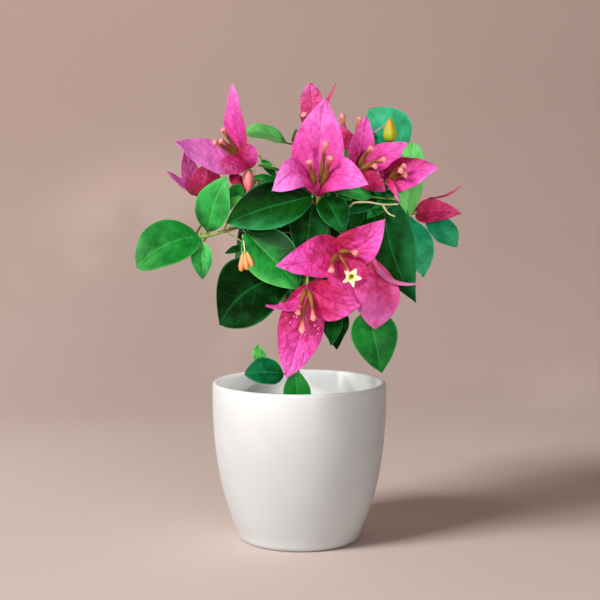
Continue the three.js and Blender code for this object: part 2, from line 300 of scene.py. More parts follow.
# %% Blade mesh
def add_blade(bm, b, grid, thickness, upper=0, under=1):
    """Adds one closed blade with that grid of faces, and materials for its upper and under side."""
    along, across, flow, tone = (layer(bm, name) for name in ("along", "across", "flow", "tone"))
    lift = bm.verts.layers.float_vector.get("lift") or bm.verts.layers.float_vector.new("lift")
    at_heel, at_tip, to_side = (*b.tone, 0.0)[:3]
    columns, rows = grid
    sheet = bmesh.ops.create_grid(bm, x_segments=columns, y_segments=rows, size=0.5)["verts"]
    ends = []
    for v in sheet:
        u = 2 * v.co.x
        t = min(1.0, max(0.0, v.co.y + 0.5))
        v[along] = t
        v[across] = u
        v[flow] = vein_flow(b, t, u)
        # The tone on each vertex: painted shade and painted light, besides the blade's own colour.
        v[tone] = at_heel + (at_tip - at_heel) * t + to_side * u
        v.co = blade_point(b, t, u)
        if t < 1e-4 or t > 1 - 1e-4:
            ends.append(v)
    bmesh.ops.remove_doubles(bm, verts=ends, dist=1e-6)
    sheet = [v for v in sheet if v.is_valid]
    faces = list({face for v in sheet for face in v.link_faces})
    for face in faces:
        face.normal_update()
        face.material_index = under
    if sum(face.normal.dot(b.faces) for face in faces) < 0:
        bmesh.ops.reverse_faces(bm, faces=faces)
    for v in sheet:
        v.normal_update()
        v[lift] = v.normal * thickness
    for part in bmesh.ops.extrude_face_region(bm, geom=faces)["geom"]:
        if isinstance(part, bmesh.types.BMVert):
            part.co += part[lift]
        elif isinstance(part, bmesh.types.BMFace):
            part.material_index = upper


trial = bmesh.new()
add_blade(trial, Blade(place(0, 0, 0), aim(0, 0), aim(0, 90), 40 * MM, 24 * MM), (8, 12), 0.3 * MM)
bmesh.ops.recalc_face_normals(trial, faces=trial.faces)
open_edges = sum(not edge.is_manifold for edge in trial.edges)
upward = sum(face.normal.z > 0.5 for face in trial.faces if face.material_index == 0)
print("a trial blade has", len(trial.faces), "faces,", open_edges, "open edges,", upward, "upper faces up")
trial.free()

# %% [markdown]
# ## Colours and small shader helpers
# Colours are given as a paint shop gives them, 0 to 255, and turned into the linear light that Blender
# mixes. A material is a tree of nodes. It could be wired by hand in the editor, but a class with one
# short call for each kind of node keeps every finish to a few lines: a sum, a fade from one value to
# another, a blend of two colours, a ramp of several, a bump. One more helper fills a node's sockets.

# %% Shader helpers
def paint(red, green, blue):
    """A colour in 0 to 255 as linear light, with full opacity."""
    linear = [(c / 255 / 12.92) if c < 11 else ((c / 255 + 0.055) / 1.055) ** 2.4 for c in (red, green, blue)]
    return (*linear, 1.0)


def darker(colour, share):
    """That share of a colour's light."""
    return tuple(share * c for c in colour[:3]) + (1.0,)


def fill(node, values):
    """Sets a node's sockets to plain values, or links them to other nodes' outputs."""
    for name, value in values.items():
        if isinstance(value, bpy.types.NodeSocket):
            node.id_data.links.new(value, node.inputs[name])
        else:
            node.inputs[name].default_value = value
    return node.outputs


class Tree:
    """A tree of shader nodes, with a short call for each kind of node that the finishes use."""

    def __init__(self, tree):
        self.nodes = tree.nodes

    def add(self, kind, values, **settings):
        """Any node, with its settings and its sockets filled."""
        node = self.nodes.new("ShaderNode" + kind)
        for name, value in settings.items():
            setattr(node, name, value)
        return fill(node, values)

    def math(self, operation, *values):
        """A sum of one, two or three values."""
        return self.add("Math", dict(enumerate(values)), operation=operation)[0]

    def fade(self, value, start, end, low=0.0, high=1.0):
        """Maps start to low and end to high, smoothly."""
        values = {"Value": value, "From Min": start, "From Max": end, "To Min": low, "To Max": high}
        return self.add("MapRange", values, interpolation_type="SMOOTHSTEP")["Result"]

    def blend(self, share, first, second):
        """A share of the second colour mixed into the first."""
        return self.add("Mix", {0: share, 6: first, 7: second}, data_type="RGBA")[2]

    def own(self, name):
        """A number that each vertex of the piece carries."""
        return self.add("Attribute", {}, attribute_name=name)["Fac"]

    def place(self):
        """Where a point is on the object, in metres."""
        return self.add("TexCoord", {})["Object"]

    def ramp(self, value, stops):
        """A colour for each share of the way, from rows of share, red, green and blue."""
        made = self.add("ValToRGB", {"Fac": value})["Color"]
        elements = made.node.color_ramp.elements
        while len(elements) < len(stops):
            elements.new(0.5)
        for element, (share, *colour) in zip(elements, stops):
            element.position = share
            element.color = paint(*colour)
        return made

    def bump(self, height, distance, strength=1.0):
        """The normal of a surface with that relief."""
        values = {"Height": height, "Distance": distance, "Strength": strength}
        return self.add("Bump", values)["Normal"]


def new_material(name):
    """A new material, with its tree and its Principled BSDF."""
    material = bpy.data.materials.new(name)
    material.use_nodes = True
    return material, Tree(material.node_tree), material.node_tree.nodes["Principled BSDF"]


print("white is", [round(c, 3) for c in paint(240, 241, 236)])

# %% [markdown]
# ## Groups that several finishes share
# Leaves and bracts both show a midrib and side veins, and everything that grows or was moulded by hand
# is a little uneven in colour. Each of these effects is a node group, built once and placed in every
# material that needs it with its own numbers. The veins read a number that every vertex of a blade
# carries and that also shaped the sheet, so the drawn lines lie in its furrows. A blade's tone is a
# number on its vertices too, and makes one finish deeper here and paler there: partly the blade's own
# colour, partly painted shade and painted light.

# %% Node groups
def new_group(name, inputs, outputs):
    """A group with those sockets. Returns it, its tree, what it is given and its output node."""
    group = bpy.data.node_groups.new(name, "ShaderNodeTree")
    for socket, kind in inputs.items():
        group.interface.new_socket(socket, in_out="INPUT", socket_type="NodeSocket" + kind)
    for socket in outputs:
        group.interface.new_socket(socket, in_out="OUTPUT", socket_type="NodeSocketFloat")
    given = group.nodes.new("NodeGroupInput").outputs
    return group, Tree(group), given, group.nodes.new("NodeGroupOutput")


veins_inputs = dict.fromkeys(("Flow", "Across", "Count", "Vein width", "Midrib width"), "Float")
veins_group, tree, given, result = new_group("veins", veins_inputs, ("Veins", "Midrib"))
from_rib = tree.math("ABSOLUTE", given["Across"])
turn = tree.math("MULTIPLY", tree.math("MULTIPLY", given["Flow"], given["Count"]), math.pi)
wave = tree.math("ABSOLUTE", tree.math("SINE", turn))
lines = tree.fade(wave, 0.0, given["Vein width"], 1.0, 0.0)
faint = tree.fade(from_rib, 0.55, 1.0, 1.0, 0.15)
rib = tree.fade(from_rib, 0.0, given["Midrib width"], 1.0, 0.0)
fill(result, {"Veins": tree.math("MULTIPLY", lines, faint), "Midrib": rib})

uneven_inputs = {"Place": "Vector", "Scale": "Float", "Detail": "Float"}
uneven_group, tree, given, result = new_group("uneven", uneven_inputs, ("Amount",))
values = {"Vector": given["Place"], "Scale": given["Scale"], "Detail": given["Detail"]}
fill(result, {"Amount": tree.fade(tree.add("TexNoise", values)["Fac"], 0.25, 0.75)})


def uneven(tree, scale, detail=3.0, where=None):
    """A soft cloudiness from 0 to 1, finer with a larger scale."""
    values = {"Place": where or tree.place(), "Scale": scale, "Detail": detail}
    return tree.add("Group", values, node_tree=uneven_group)["Amount"]


def veined(tree, colour, vein_colour, depth, faint, sizes):
    """Draws a midrib that deep, and fainter side veins, over a colour. Returns it and the veins."""
    values = {"Flow": tree.own("flow"), "Across": tree.own("across")}
    values.update(zip(("Count", "Vein width", "Midrib width"), sizes))
    drawn = tree.add("Group", values, node_tree=veins_group)
    colour = tree.blend(tree.math("MULTIPLY", drawn["Veins"], faint * depth), colour, vein_colour)
    return tree.blend(tree.math("MULTIPLY", drawn["Midrib"], depth), colour, vein_colour), drawn["Veins"]


def toned(tree, colour, cloud, patchy, pale, deep):
    """Makes a colour paler or deeper by the blade's tone, partly its own colour and partly painted light and
    shade. Returns it and the tone.
    """
    patches = tree.math("MULTIPLY", tree.math("SUBTRACT", cloud, 0.5), patchy)
    tone = tree.math("ADD", tree.own("tone"), patches)
    colour = tree.blend(tree.fade(tone, 0.0, 1.0), colour, pale)
    return tree.blend(tree.fade(tone, 0.0, -1.0), colour, deep), tone


print("groups:", veins_group.name, uneven_group.name)

# %% [markdown]
# ## The bracts' finish
# A bract is bright because it calls insects to the small flowers inside it. It is deep crimson at the
# heel, hot magenta over most of its length and paler violet-pink towards the tip, and its back is
# redder and darker. The veins are a little darker than the papery skin between them. The colour runs
# along a ramp from heel to tip, and light passes a little way through the skin.

# %% Bract materials
# The paler and deeper colours that a bract's tone mixes in: partly its own pale tips and deep heel, partly
# painted light and painted shade.
PALE_AND_LIT_BRACT = paint(240, 130, 214)
DEEP_AND_SHADED_BRACT = paint(156, 6, 62)


def bract_material(name, stops, vein_colour, depth):
    """A papery finish whose colour runs from heel to tip."""
    material, tree, shader = new_material(name)
    cloud = uneven(tree, 170.0)
    fine = uneven(tree, 900.0, 4.0)
    share = tree.math("ADD", tree.math("MULTIPLY_ADD", cloud, 0.24, -0.12), tree.own("along"))
    colour, veins = veined(tree, tree.ramp(share, stops), paint(*vein_colour), depth, 0.42, (7.0, 0.4, 0.08))
    # The fine mottle towards the tip's pale colour is partly the paper's own mottling and partly painted
    # small highlights.
    colour = tree.blend(tree.math("MULTIPLY", fine, 0.36), colour, paint(*stops[-1][1:]))
    # Painted light and shade: the tone pales or deepens the bract, besides its own colour.
    colour, tone = toned(tree, colour, cloud, 0.36, PALE_AND_LIT_BRACT, DEEP_AND_SHADED_BRACT)
    crinkle = tree.math("MULTIPLY", uneven(tree, 380.0, 5.0), tree.fade(tone, 0.0, 1.0, 1.0, 0.35))
    relief = tree.math("SUBTRACT", crinkle, tree.math("MULTIPLY", veins, 0.3))
    fill(shader, {
        "Base Color": colour, "Roughness": tree.fade(fine, 0.0, 1.0, 0.38, 0.62),
        "Specular IOR Level": 0.3, "Subsurface Weight": 0.3, "Subsurface Radius": (1.0, 0.35, 0.7),
        "Subsurface Scale": 1.2 * MM, "Normal": tree.bump(relief, 0.55 * MM)})
    return material


bract_inside = bract_material("bract_inside", [
    (0.0, 156, 2, 60), (0.2, 192, 16, 98), (0.5, 212, 42, 144), (0.8, 220, 74, 170), (1.0, 226, 98, 188)],
    (148, 8, 84), 0.6)
bract_outside = bract_material("bract_outside", [
    (0.0, 150, 8, 42), (0.3, 208, 26, 84), (0.7, 232, 52, 122), (1.0, 238, 84, 150)], (146, 10, 56), 0.4)
bract_pale = bract_material("bract_pale", [
    (0.0, 214, 60, 120), (0.4, 226, 112, 164), (1.0, 226, 140, 176)], (206, 70, 130), 0.3)
print("bract finishes:", bract_inside.name, bract_outside.name, bract_pale.name)

# %% [markdown]
# ## The leaves' finish
# A bougainvillea leaf is smooth and a little glossy above, paler and duller below, with a pale midrib
# and fine side veins. The leaves in shade are nearly black-green, the ones in the light are bright,
# and some reflect the sky and look blue. So the finish is one function that is given a tint, and each
# leaf is given a tint by where it hangs. The tints are partly the leaves' own greens and partly
# painted shade, painted light and a painted reflection of the sky.

# %% Leaf materials
def leaf_material(name, tint, vein_tint, roughness, gloss, depth=0.4):
    """A leaf of one tint, with veins in another, that deepens or pales over the blade by painted shade and
    painted light.
    """
    material, tree, shader = new_material(name)
    tint, vein_tint = paint(*tint), paint(*vein_tint)
    cloud = uneven(tree, 110.0)
    fine = uneven(tree, 600.0)
    colour = tree.blend(cloud, darker(tint, 0.55), tint)
    # Painted light and shade: the tone pales a leaf towards its vein tint and deepens it nearly to black,
    # besides its own colour.
    colour, tone = toned(tree, colour, cloud, 0.3, vein_tint, darker(tint, 0.16))
    colour, veins = veined(tree, colour, vein_tint, depth, 0.32, (6.0, 0.2, 0.06))
    edge = tree.fade(tree.math("ABSOLUTE", tree.own("across")), 0.92, 1.0, 0.0, 0.6)
    fill(shader, {
        "Base Color": tree.blend(edge, colour, vein_tint),
        "Roughness": tree.fade(fine, 0.0, 1.0, roughness - 0.05, roughness + 0.08),
        "Specular IOR Level": gloss, "Subsurface Weight": 0.12, "Subsurface Radius": (0.3, 1.0, 0.2),
        "Subsurface Scale": 1.0 * MM, "Normal": tree.bump(tree.math("SUBTRACT", fine, veins), 0.1 * MM)})
    return material


# Tints by where a leaf hangs: partly the leaves' own greens, partly painted shade for the deeper tints,
# painted light for the paler ones and a painted sky reflection for the blue-green ones.
TINTS = {
    "lime": ((112, 206, 84), (166, 226, 120), 0.5, 0.2),
    "light": ((90, 194, 84), (150, 220, 120), 0.48, 0.2),
    "bright": ((52, 178, 76), (120, 208, 110), 0.46, 0.2),
    "middle": ((20, 138, 46), (88, 184, 90), 0.46, 0.16),
    "blue": ((26, 172, 112), (84, 200, 150), 0.46, 0.16),
    "teal": ((6, 104, 56), (60, 170, 120), 0.5, 0.1),
    "deep": ((10, 70, 10), (40, 140, 80), 0.55, 0.05),
    "dark": ((4, 34, 2), (30, 110, 50), 0.6, 0.03),
}
leaf_upper = {name: leaf_material("leaf_" + name, *look) for name, look in TINTS.items()}
leaf_under = leaf_material("leaf_underside", (56, 138, 66), (112, 178, 100), 0.55, 0.15, 0.3)
print("leaf tints:", ", ".join(leaf_upper))

# %% [markdown]
# ## The pot
# A cast ceramic pot with a satin white glaze: it widens from a small round foot, nearly straight at
# the top, and its rim is rolled over. A wall profile is drawn in the XZ plane and spun round the axis
# with use_merge, so the first and last columns are one. The profile has the CAD pot's own rule, with
# more steps. The last few tenths of a millimetre of unevenness come from moving its vertices. A number
# on each vertex says how far inside the wall it is, because the inside is painted whiter: painted light
# that stands in for the light a bright room would throw into the pot.

# %% Pot profile
pot_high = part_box("pot")[1]
POT_HEIGHT = pot_high.z
POT_RADIUS = pot_high.y
POT_TAPER = 19.6 * MM
WALL = 4 * MM
FLOOR = 6 * MM
LIP = 2 * MM
FILLET = 5.5 * MM


def pot_radius(z):
    """The outer radius at a height."""
    return POT_RADIUS - POT_TAPER * ((POT_HEIGHT - z) / POT_HEIGHT) ** 2.7


def arc(centre_x, centre_z, radius, start, end, steps):
    """Points of an arc in the XZ plane, in degrees from +X."""
    turns = [math.radians(start + (end - start) * i / steps) for i in range(steps + 1)]
    return [Vector((centre_x + radius * math.cos(a), 0, centre_z + radius * math.sin(a))) for a in turns]


def wall(start, end, steps, inset):
    """Points down or up the wall, that far inside the outer radius."""
    heights = [start + (end - start) * i / steps for i in range(steps + 1)]
    return [Vector((pot_radius(z) - inset, 0, z)) for z in heights]


rim = POT_HEIGHT - LIP
profile = [Vector((r * MM, 0, 0)) for r in (0, 8, 16, 24, 30)]
profile += arc(pot_radius(FILLET) - FILLET, FILLET, FILLET, -90, -12, 8)
profile += wall(FILLET + 1 * MM, rim - 0.5 * MM, 40, 0.0)
profile += arc(POT_RADIUS - LIP, rim, LIP, 0, 180, 12)
profile += wall(rim - 0.5 * MM, FLOOR + 5 * MM, 36, WALL)
profile += [Vector((r * MM, 0, FLOOR)) for r in (33, 24, 16, 8, 0)]
print("pot", round(POT_RADIUS * 2, 4), "across,", round(POT_HEIGHT, 4), "high,", len(profile), "points")

# %% Spin the pot
def spin_line(bm, points, steps):
    """Spins a line of points once round the Z axis."""
    line = [bm.verts.new(point) for point in points]
    edges = [bm.edges.new(pair) for pair in zip(line, line[1:])]
    bmesh.ops.spin(
        bm, geom=line + edges, cent=(0, 0, 0), axis=(0, 0, 1), angle=math.tau, steps=steps, use_merge=True
    )
    bmesh.ops.remove_doubles(bm, verts=bm.verts, dist=1e-6)


def glaze_material():
    """Satin white glaze, with a faint cloudiness, a few fine specks and a whiter inside that is painted
    light.
    """
    material, tree, shader = new_material("white_glaze")
    cloud = uneven(tree, 18.0, 2.0)
    colour = tree.blend(cloud, paint(210, 213, 213), paint(217, 220, 220))
    # Painted light: the inside of the wall is painted whiter, for the light a bright room would throw into
    # the pot.
    colour = tree.blend(tree.own("inside"), colour, paint(243, 245, 244))
    specks = tree.fade(uneven(tree, 1400.0, 2.0), 0.93, 1.0, 0.0, 0.25)
    fill(shader, {
        "Base Color": tree.blend(specks, colour, paint(184, 176, 168)), "Specular IOR Level": 0.45,
        "Roughness": tree.fade(cloud, 0.0, 1.0, 0.36, 0.48), "Normal": tree.bump(cloud, 0.3 * MM, 0.5)})
    return material


HAND_MADE = 0.12 * MM
bm = bmesh.new()
spin_line(bm, profile, 120)
# How far inside the wall each vertex lies, for the inside's painted light.
inside = layer(bm, "inside")
for v in bm.verts:
    away = Vector((v.co.x, v.co.y, 0))
    v[inside] = min(1.0, max(0.0, (pot_radius(v.co.z) - away.length) / WALL))
    if v.co.z > 1 * MM and away.length > 30 * MM:
        v.co += away.normalized() * HAND_MADE * noise.noise(v.co * 28)
finish_piece(bm, "glazed_pot", [glaze_material()], ["pot"])

# %% [markdown]
# ## The potting mix
# The soil is dark, damp and crumbly, and lies well below the rim. Its skin is spun like the pot and
# then roughened by noise. Loose crumbs, chips and a few white grains of perlite are small icospheres,
# squashed and turned at random from a fixed seed and joined in one mesh for each kind.

# %% Potting mix
SOIL_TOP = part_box("soil")[1].z
SOIL_RADIUS = pot_radius(SOIL_TOP) - WALL - 0.3 * MM


def earth_material(name, dark, light):
    """Rough crumbs between two colours."""
    material, tree, shader = new_material(name)
    cloud = uneven(tree, 420.0, 6.0)
    fill(shader, {
        "Base Color": tree.blend(cloud, paint(*dark), paint(*light)), "Roughness": 0.95,
        "Normal": tree.bump(cloud, 0.6 * MM)})
    return material


soil_finish = earth_material("damp_soil", (28, 19, 13), (78, 56, 38))
bm = bmesh.new()
skin = [Vector((SOIL_RADIUS * i / 26, 0, SOIL_TOP)) for i in range(27)]
skin += [Vector((pot_radius(z) - WALL - 1 * MM, 0, z)) for z in (76 * MM, 60 * MM, 30 * MM, 11 * MM)]
skin += [Vector((0, 0, 10 * MM))]
spin_line(bm, skin, 110)
for v in bm.verts:
    if v.co.z > SOIL_TOP - 1 * MM:
        v.co.z += (1.1 * noise.noise(v.co * 90) + 0.7 * noise.noise(v.co * 420)) * MM
finish_piece(bm, "potting_mix", [soil_finish], ["soil"])

# %% Crumbs and perlite
def any_way(dice):
    """A random direction, not of unit length."""
    return Vector([dice.uniform(-1, 1) for _ in range(3)])


def scatter(name, count, sizes, material, seed, squash=0.6):
    """Strews that many small lumps over the soil."""
    dice = random.Random(seed)
    bm = bmesh.new()
    for _ in range(count):
        size = dice.uniform(*sizes)
        reach = (SOIL_RADIUS - 1.5 * size) * math.sqrt(dice.uniform(0.02, 1))
        turn = dice.uniform(0, math.tau)
        spot = Vector((reach * math.cos(turn), reach * math.sin(turn), SOIL_TOP + 0.35 * size))
        tilt = Matrix.Rotation(dice.uniform(0, math.tau), 4, any_way(dice))
        shape = Matrix.Diagonal((size, size * dice.uniform(0.6, 1), size * squash, 1))
        lump = Matrix.Translation(spot) @ tilt @ shape
        for v in bmesh.ops.create_icosphere(bm, subdivisions=1, radius=1.0, matrix=lump)["verts"]:
            v.co += (v.co - spot) * 0.35 * noise.noise(v.co * 900)
    finish_piece(bm, name, [material], crease=35)


scatter("soil_crumbs", 420, (0.7 * MM, 2.3 * MM), soil_finish, 11)
chip_finish = earth_material("bark_chips", (70, 44, 26), (128, 88, 54))
scatter("bark_chips", 60, (1.5 * MM, 3.6 * MM), chip_finish, 12, 0.35)
perlite_finish = earth_material("white_grains", (176, 172, 162), (226, 223, 214))
scatter("perlite", 46, (0.7 * MM, 1.7 * MM), perlite_finish, 13, 0.8)

# %% [markdown]
# ## Stem, boughs and bark
# The woody stem flares at the soil and divides into boughs, each of which ends inside a mass of
# leaves. Old wood is grey-brown with ridges that run along it, and young wood is smooth and green. A
# ring is swept along each bough's path, and then its vertices are pushed in and out by stretched noise
# for the ridges and swollen at the joints where leaves once grew.

# %% Bark
def bark_material(name, dark, light, ridge):
    """Wood between two colours, with fine ridges."""
    material, tree, shader = new_material(name)
    long_grain = tree.add("Mapping", {"Vector": tree.place(), "Scale": (1.0, 1.0, 0.25)})[0]
    grain = uneven(tree, 900.0, 5.0, long_grain)
    fill(shader, {
        "Base Color": tree.blend(grain, paint(*dark), paint(*light)), "Roughness": 0.8,
        "Normal": tree.bump(grain, ridge)})
    return material


def middle_of(ring):
    """The centre of a ring of vertices."""
    return sum((v.co for v in ring), Vector()) / len(ring)


def add_limb(name, path, radius_at, sides, relief, joints, finish, node):
    """One limb: a swept ring, pushed out into ridges and swollen at its joints."""
    bm = bmesh.new()
    for i, ring in enumerate(sweep(bm, path, radius_at, sides)):
        middle = middle_of(ring)
        share = i / (len(path) - 1)
        swell = 1 + 0.16 * sum(math.exp(-(((share - joint) / 0.03) ** 2)) for joint in joints)
        for v in ring:
            away = v.co - middle
            spot = Vector((away.normalized().x * 2.2, away.normalized().y * 2.2, v.co.z * 130))
            v.co = middle + away * swell * (1 + relief * noise.noise(spot))
    finish_piece(bm, name, [finish], [node])


def stem_radius(t):
    """The flare at the soil, then a slow taper."""
    return (3.4 - 0.8 * t + 2.1 * (1 - t) ** 6) * MM


old_bark = bark_material("old_bark", (92, 72, 46), (150, 126, 90), 0.5 * MM)
young_bark = bark_material("young_bark", (104, 124, 40), (166, 182, 84), 0.2 * MM)
FORK = place(-2, 0, 150)
stem_foot = Vector((1 * MM, 1 * MM, SOIL_TOP - 2 * MM))
stem_path = smooth_path([stem_foot, place(0, 0, 93), place(-3, 0, 118), FORK], 12)
add_limb("woody_stem", stem_path, stem_radius, 20, 0.16, (0.35, 0.62, 0.86), old_bark, "stem")

# %% Boughs and shoots
HEARTS = ("left", "front", "right", "top", "low", "back")
SHOOTS = {
    "left": [place(-36, -33, 219), place(-50, -35, 215), place(-60, -33, 212)],
    "top_left": [place(-26, -18, 238), place(-31, -22, 246), place(-34, -22, 252)],
    "low_pot": [place(-1, -4, 87), place(-2, -8, 100), place(-6, -11, 116)],
}


def heart_box(name):
    """Centre and half sizes of an inner mass of leaves."""
    low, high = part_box("heart_" + name)
    return (low + high) / 2, (high - low) / 2


def bough_line(name):
    """From the fork, with a little sag, to just inside its leaf mass."""
    centre = heart_box(name)[0]
    middle = FORK.lerp(centre, 0.45)
    away = Vector((middle.x - FORK.x, middle.y - FORK.y, 0))
    return smooth_path([FORK, middle + 0.35 * away, FORK.lerp(centre, 0.9)], 10)


limbs = {name: bough_line(name) for name in HEARTS}
for name, path in limbs.items():
    joints = (0.3, 0.6, 0.9)
    add_limb("bough_bark_" + name, path, taper(2.3, 0.9), 14, 0.14, joints, old_bark, "bough_" + name)
for name, points in SHOOTS.items():
    path = smooth_path(points, 8)
    add_limb("shoot_bark_" + name, path, taper(1.3, 0.4), 12, 0.08, (0.5,), young_bark, "shoot_" + name)
    limbs["shoot_" + name] = path

# %% [markdown]
# ## Twigs: how everything hangs together
# Each head of bracts and each leaf grows on a green twig from the nearest bough. A branching rule finds
# that bough: of all the points along the limbs it takes the one that is near and lies lower, because
# shoots grow upwards and outwards. The twig leaves along the limb and then swings round to its end.
# All twigs are joined in two meshes, because a bmesh is slower to extend the larger it is.

# %% Twigs
pale_twig = bark_material("cream_twig", (208, 200, 140), (238, 230, 190), 0.15 * MM)
ANCHORS = [(path, i) for path in (*limbs.values(), stem_path) for i in range(len(path) // 3, len(path))]
twigs = bmesh.new()
side_twigs = bmesh.new()


def nearest_limb(point):
    """The place on a limb where a twig to that point would grow from, and the limb's direction there."""
    def cost(anchor):
        path, i = anchor
        apart = point - path[i]
        return apart.length + max(0.0, -apart.z) * 0.8
    path, i = min(ANCHORS, key=cost)
    ahead = path[min(i + 1, len(path) - 1)] - path[i - 1]
    return path[i], ahead.normalized()


def grow_twig(root, into, thick, thin, bm=twigs):
    """A twig from the nearest limb to root, which it reaches in the direction into."""
    start, heading = nearest_limb(root)
    span = (root - start).length
    leave = start + (heading * 0.22 + (root - start).normalized() * 0.12) * span
    arrive = root - into * 0.28 * span
    thick, thin = thick * MM, thin * MM
    sweep(bm, smooth_path([start, leave, arrive, root], 4), lambda t: thick + (thin - thick) * t, 7)


print(len(ANCHORS), "places for a twig to grow from")

# %% [markdown]
# ## The heads of bracts
# Three bracts stand round three small flowers, and what looks like one big flower is such a head. Each
# row below is a head as the CAD model has it: its heel in millimetres, then for each bract the azimuth,
# rise and length to its tip, the azimuth and rise that its inner side faces, its arch and its sideways
# bend. A bract is half as wide as it is long unless its row says otherwise. Some are seen from their
# redder back, some are so curled that only a thin pale edge of them shows, and one head has small
# cupped lobes, so each of these kinds has its own short name. A start moves a bract's foot off the
# heel. The tone says how deep or pale a bract is at its foot, at its tip and perhaps to one side. It is
# partly the bract's own colour, because no two on the plant are quite alike, and partly painted light
# and painted shade: paler where a bract lies in shadow but should look lit, deeper where it should look
# shaded. Each head also prints how far it stands out of the box of its CAD solid.

# %% Heads
def bract(azimuth, rise, length, face_azimuth, face_rise, bow=0, bend=0, start=(0, 0, 0), width=0.52,
          skin=(bract_inside, bract_outside), **own):
    """A row of the table as a blade that is still at the origin, and its two finishes."""
    shape = {"ripple": 0.8, "pucker": 0.45, "crumple": 0.9, "curl": 0.02, "tone": (-0.5, 0.1)}
    length *= MM
    return Blade(
        place(*start), aim(azimuth, rise), aim(face_azimuth, face_rise), length, length * width, bow, bend,
        **{**shape, **own}), skin


back_out = partial(bract, skin=(bract_outside, bract_inside))
edge_on = partial(bract, skin=(bract_pale, bract_pale), ripple=0, pucker=0, fold=0, crumple=0.3)
lobe = partial(bract, ripple=0, pucker=0.15, crumple=0.4, fold=-0.12, blunt=0.5, point=0.5)
# Each tone below is partly the bract's own colour and partly painted light and painted shade.
HEADS = {
    "top_left": ((-35, -22, 258), [
        bract(168, 81, 55, -145, 5, 0.06, width=0.43, blunt=0.85, tone=(-0.3, 0.5)),
        bract(-161, 17, 52, -96, 42, -0.04, width=0.54, ripple=0.4, tone=(0.3, 1.3)),
        lobe(-60, 64, 17, -100, 20, 0.18, start=(-0.6, -8, -1), width=0.86, tone=(-0.75, -0.6, -0.3)),
        lobe(-138, -24, 20, -95, 30, 0.18, start=(-0.5, -8, 4.5), width=0.86, tone=(-0.7, -0.6, -0.1)),
        lobe(-32, -39, 17, -110, 30, 0.1, start=(-10.6, -6, -5.5), width=0.5, tone=(-1.3, -1.0))]),
    "low_left": ((-69, -4, 238), [
        bract(-67, 44, 30, 110, 20, -0.2, width=0.74, ripple=0.2, blunt=0.5, point=0.5, tone=(-0.4, -0.1)),
        back_out(-151, 71, 32, -65, 10, -0.05, width=0.44, ripple=0.3, tone=(0.3, 0.9)),
        back_out(-143, 32, 30, -90, 50, width=0.32, ripple=0.3, tone=(0.4, 1.0))]),
    "crest": ((10, 24, 283), [
        back_out(-112, 78, 33, -85, 10, -0.05, width=0.5, point=0.65, tone=(0.2, 0.5)),
        edge_on(28, 62, 37, -80, 5, width=0.07, point=0.8, skin=(bract_outside, bract_outside)),
        bract(100, 30, 32, 0, 80)]),
    "front_high": ((12, -50, 238), [
        bract(70, 77, 66, -92, 0, -0.04, 0.035, blunt=0.78, point=1.02, tone=(-0.3, 0.5)),
        bract(-140, 6, 39, -68, 28, 0.2, -0.28, width=0.56, ripple=0.2, blunt=1.5, point=0.9,
            tone=(-0.6, 1.0, 0.1)),
        bract(-40, 11, 42, -112, 28, 0.2, 0.18, width=0.58, ripple=0.2, blunt=1.05, point=0.9,
            tone=(-1.0, 0.6))]),
    "shoulder": ((36, 8, 261), [
        back_out(-160, 58, 33, -85, 10, -0.05, width=0.62, ripple=0.2, tone=(0.0, 0.3)),
        edge_on(10, 44, 38, 0, 88, 0.1, width=0.1),
        bract(95, 30, 36, -90, 70)]),
    "right_front": ((38, -30, 255), [
        bract(45, 75, 37, -100, 5, -0.05, width=0.46, ripple=0.2, fold=0.0, tone=(-0.4, -0.1)),
        bract(-15, 27, 39, -105, 20, 0.03, width=0.46, tone=(-0.5, 0.1)),
        bract(-55, -24, 34, -140, 35, width=0.42, ripple=0.2, tone=(-0.9, -0.7))]),
    "right_side": ((57, -31, 248), [
        bract(-17, 14, 37, -95, 30, 0.06, width=0.66, blunt=0.5, tone=(-0.7, 0.1, -0.5)),
        back_out(-77, -28, 35, -100, 55, 0.05, start=(0, 0, 3), width=0.13, ripple=0.2, tone=(-0.3, 0.7)),
        bract(68, 40, 32, -90, 45)]),
    "far_right": ((80, 5, 226), [
        back_out(-19, -1, 32, -78, 22, 0.08, width=0.56, blunt=0.42, point=0.95, ripple=0.2, fold=0.14,
            tone=(-0.3, 0.0, 0.2)),
        edge_on(-14, 20, 24, -90, 30, 0, -0.12, start=(8.3, -1, 10.3), width=0.07, point=0.6,
            skin=(bract_outside, bract_outside)),
        bract(72, 8, 36, -90, 80)]),
    "front_middle": ((24, -62, 203), [
        bract(-152, -11, 48, -95, 15, 0.06, 0.06, start=(2.5, 0, 1.5), width=0.58, blunt=0.45, fold=0.1,
            tone=(-0.8, -0.1)),
        bract(-18, 31, 42, -95, 0, 0.05, -0.15, start=(-4, 0, 0), width=0.58, tone=(-0.9, 0.1, -0.4)),
        bract(-60, -50, 46, -88, 30, 0.08, width=0.58, ripple=0.6, tone=(-0.9, -0.4))]),
    "front_side": ((48, -44, 200), [
        back_out(-87, -66, 51, -92, 10, 0.04, 0.04, width=0.57, blunt=1.35, point=0.9, fold=0.12,
            ripple=0.6, tone=(0.05, 0.6)),
        edge_on(-22, -25, 41, -90, 40, 0.05, -0.3, width=0.1, blunt=0.25, point=0.6, tone=(0.3, 0.3)),
        bract(-160, 60, 22, -90, 0)]),
    "front_low": ((5, -71, 183), [
        bract(-142, -74, 61, -78, 5, 0, 0.03, width=0.49, point=0.9, tone=(-1.2, 0.2)),
        bract(-34, -15, 42, -92, -12, 0.06, -0.1, width=0.6, ripple=0.4, blunt=0.9, tone=(-1.0, -0.4)),
        bract(-139, -20, 36, -80, 58, -0.1, 0.2, width=0.27, point=0.42, ripple=0.2, pucker=0.2,
            tone=(-0.2, -0.4))]),
}
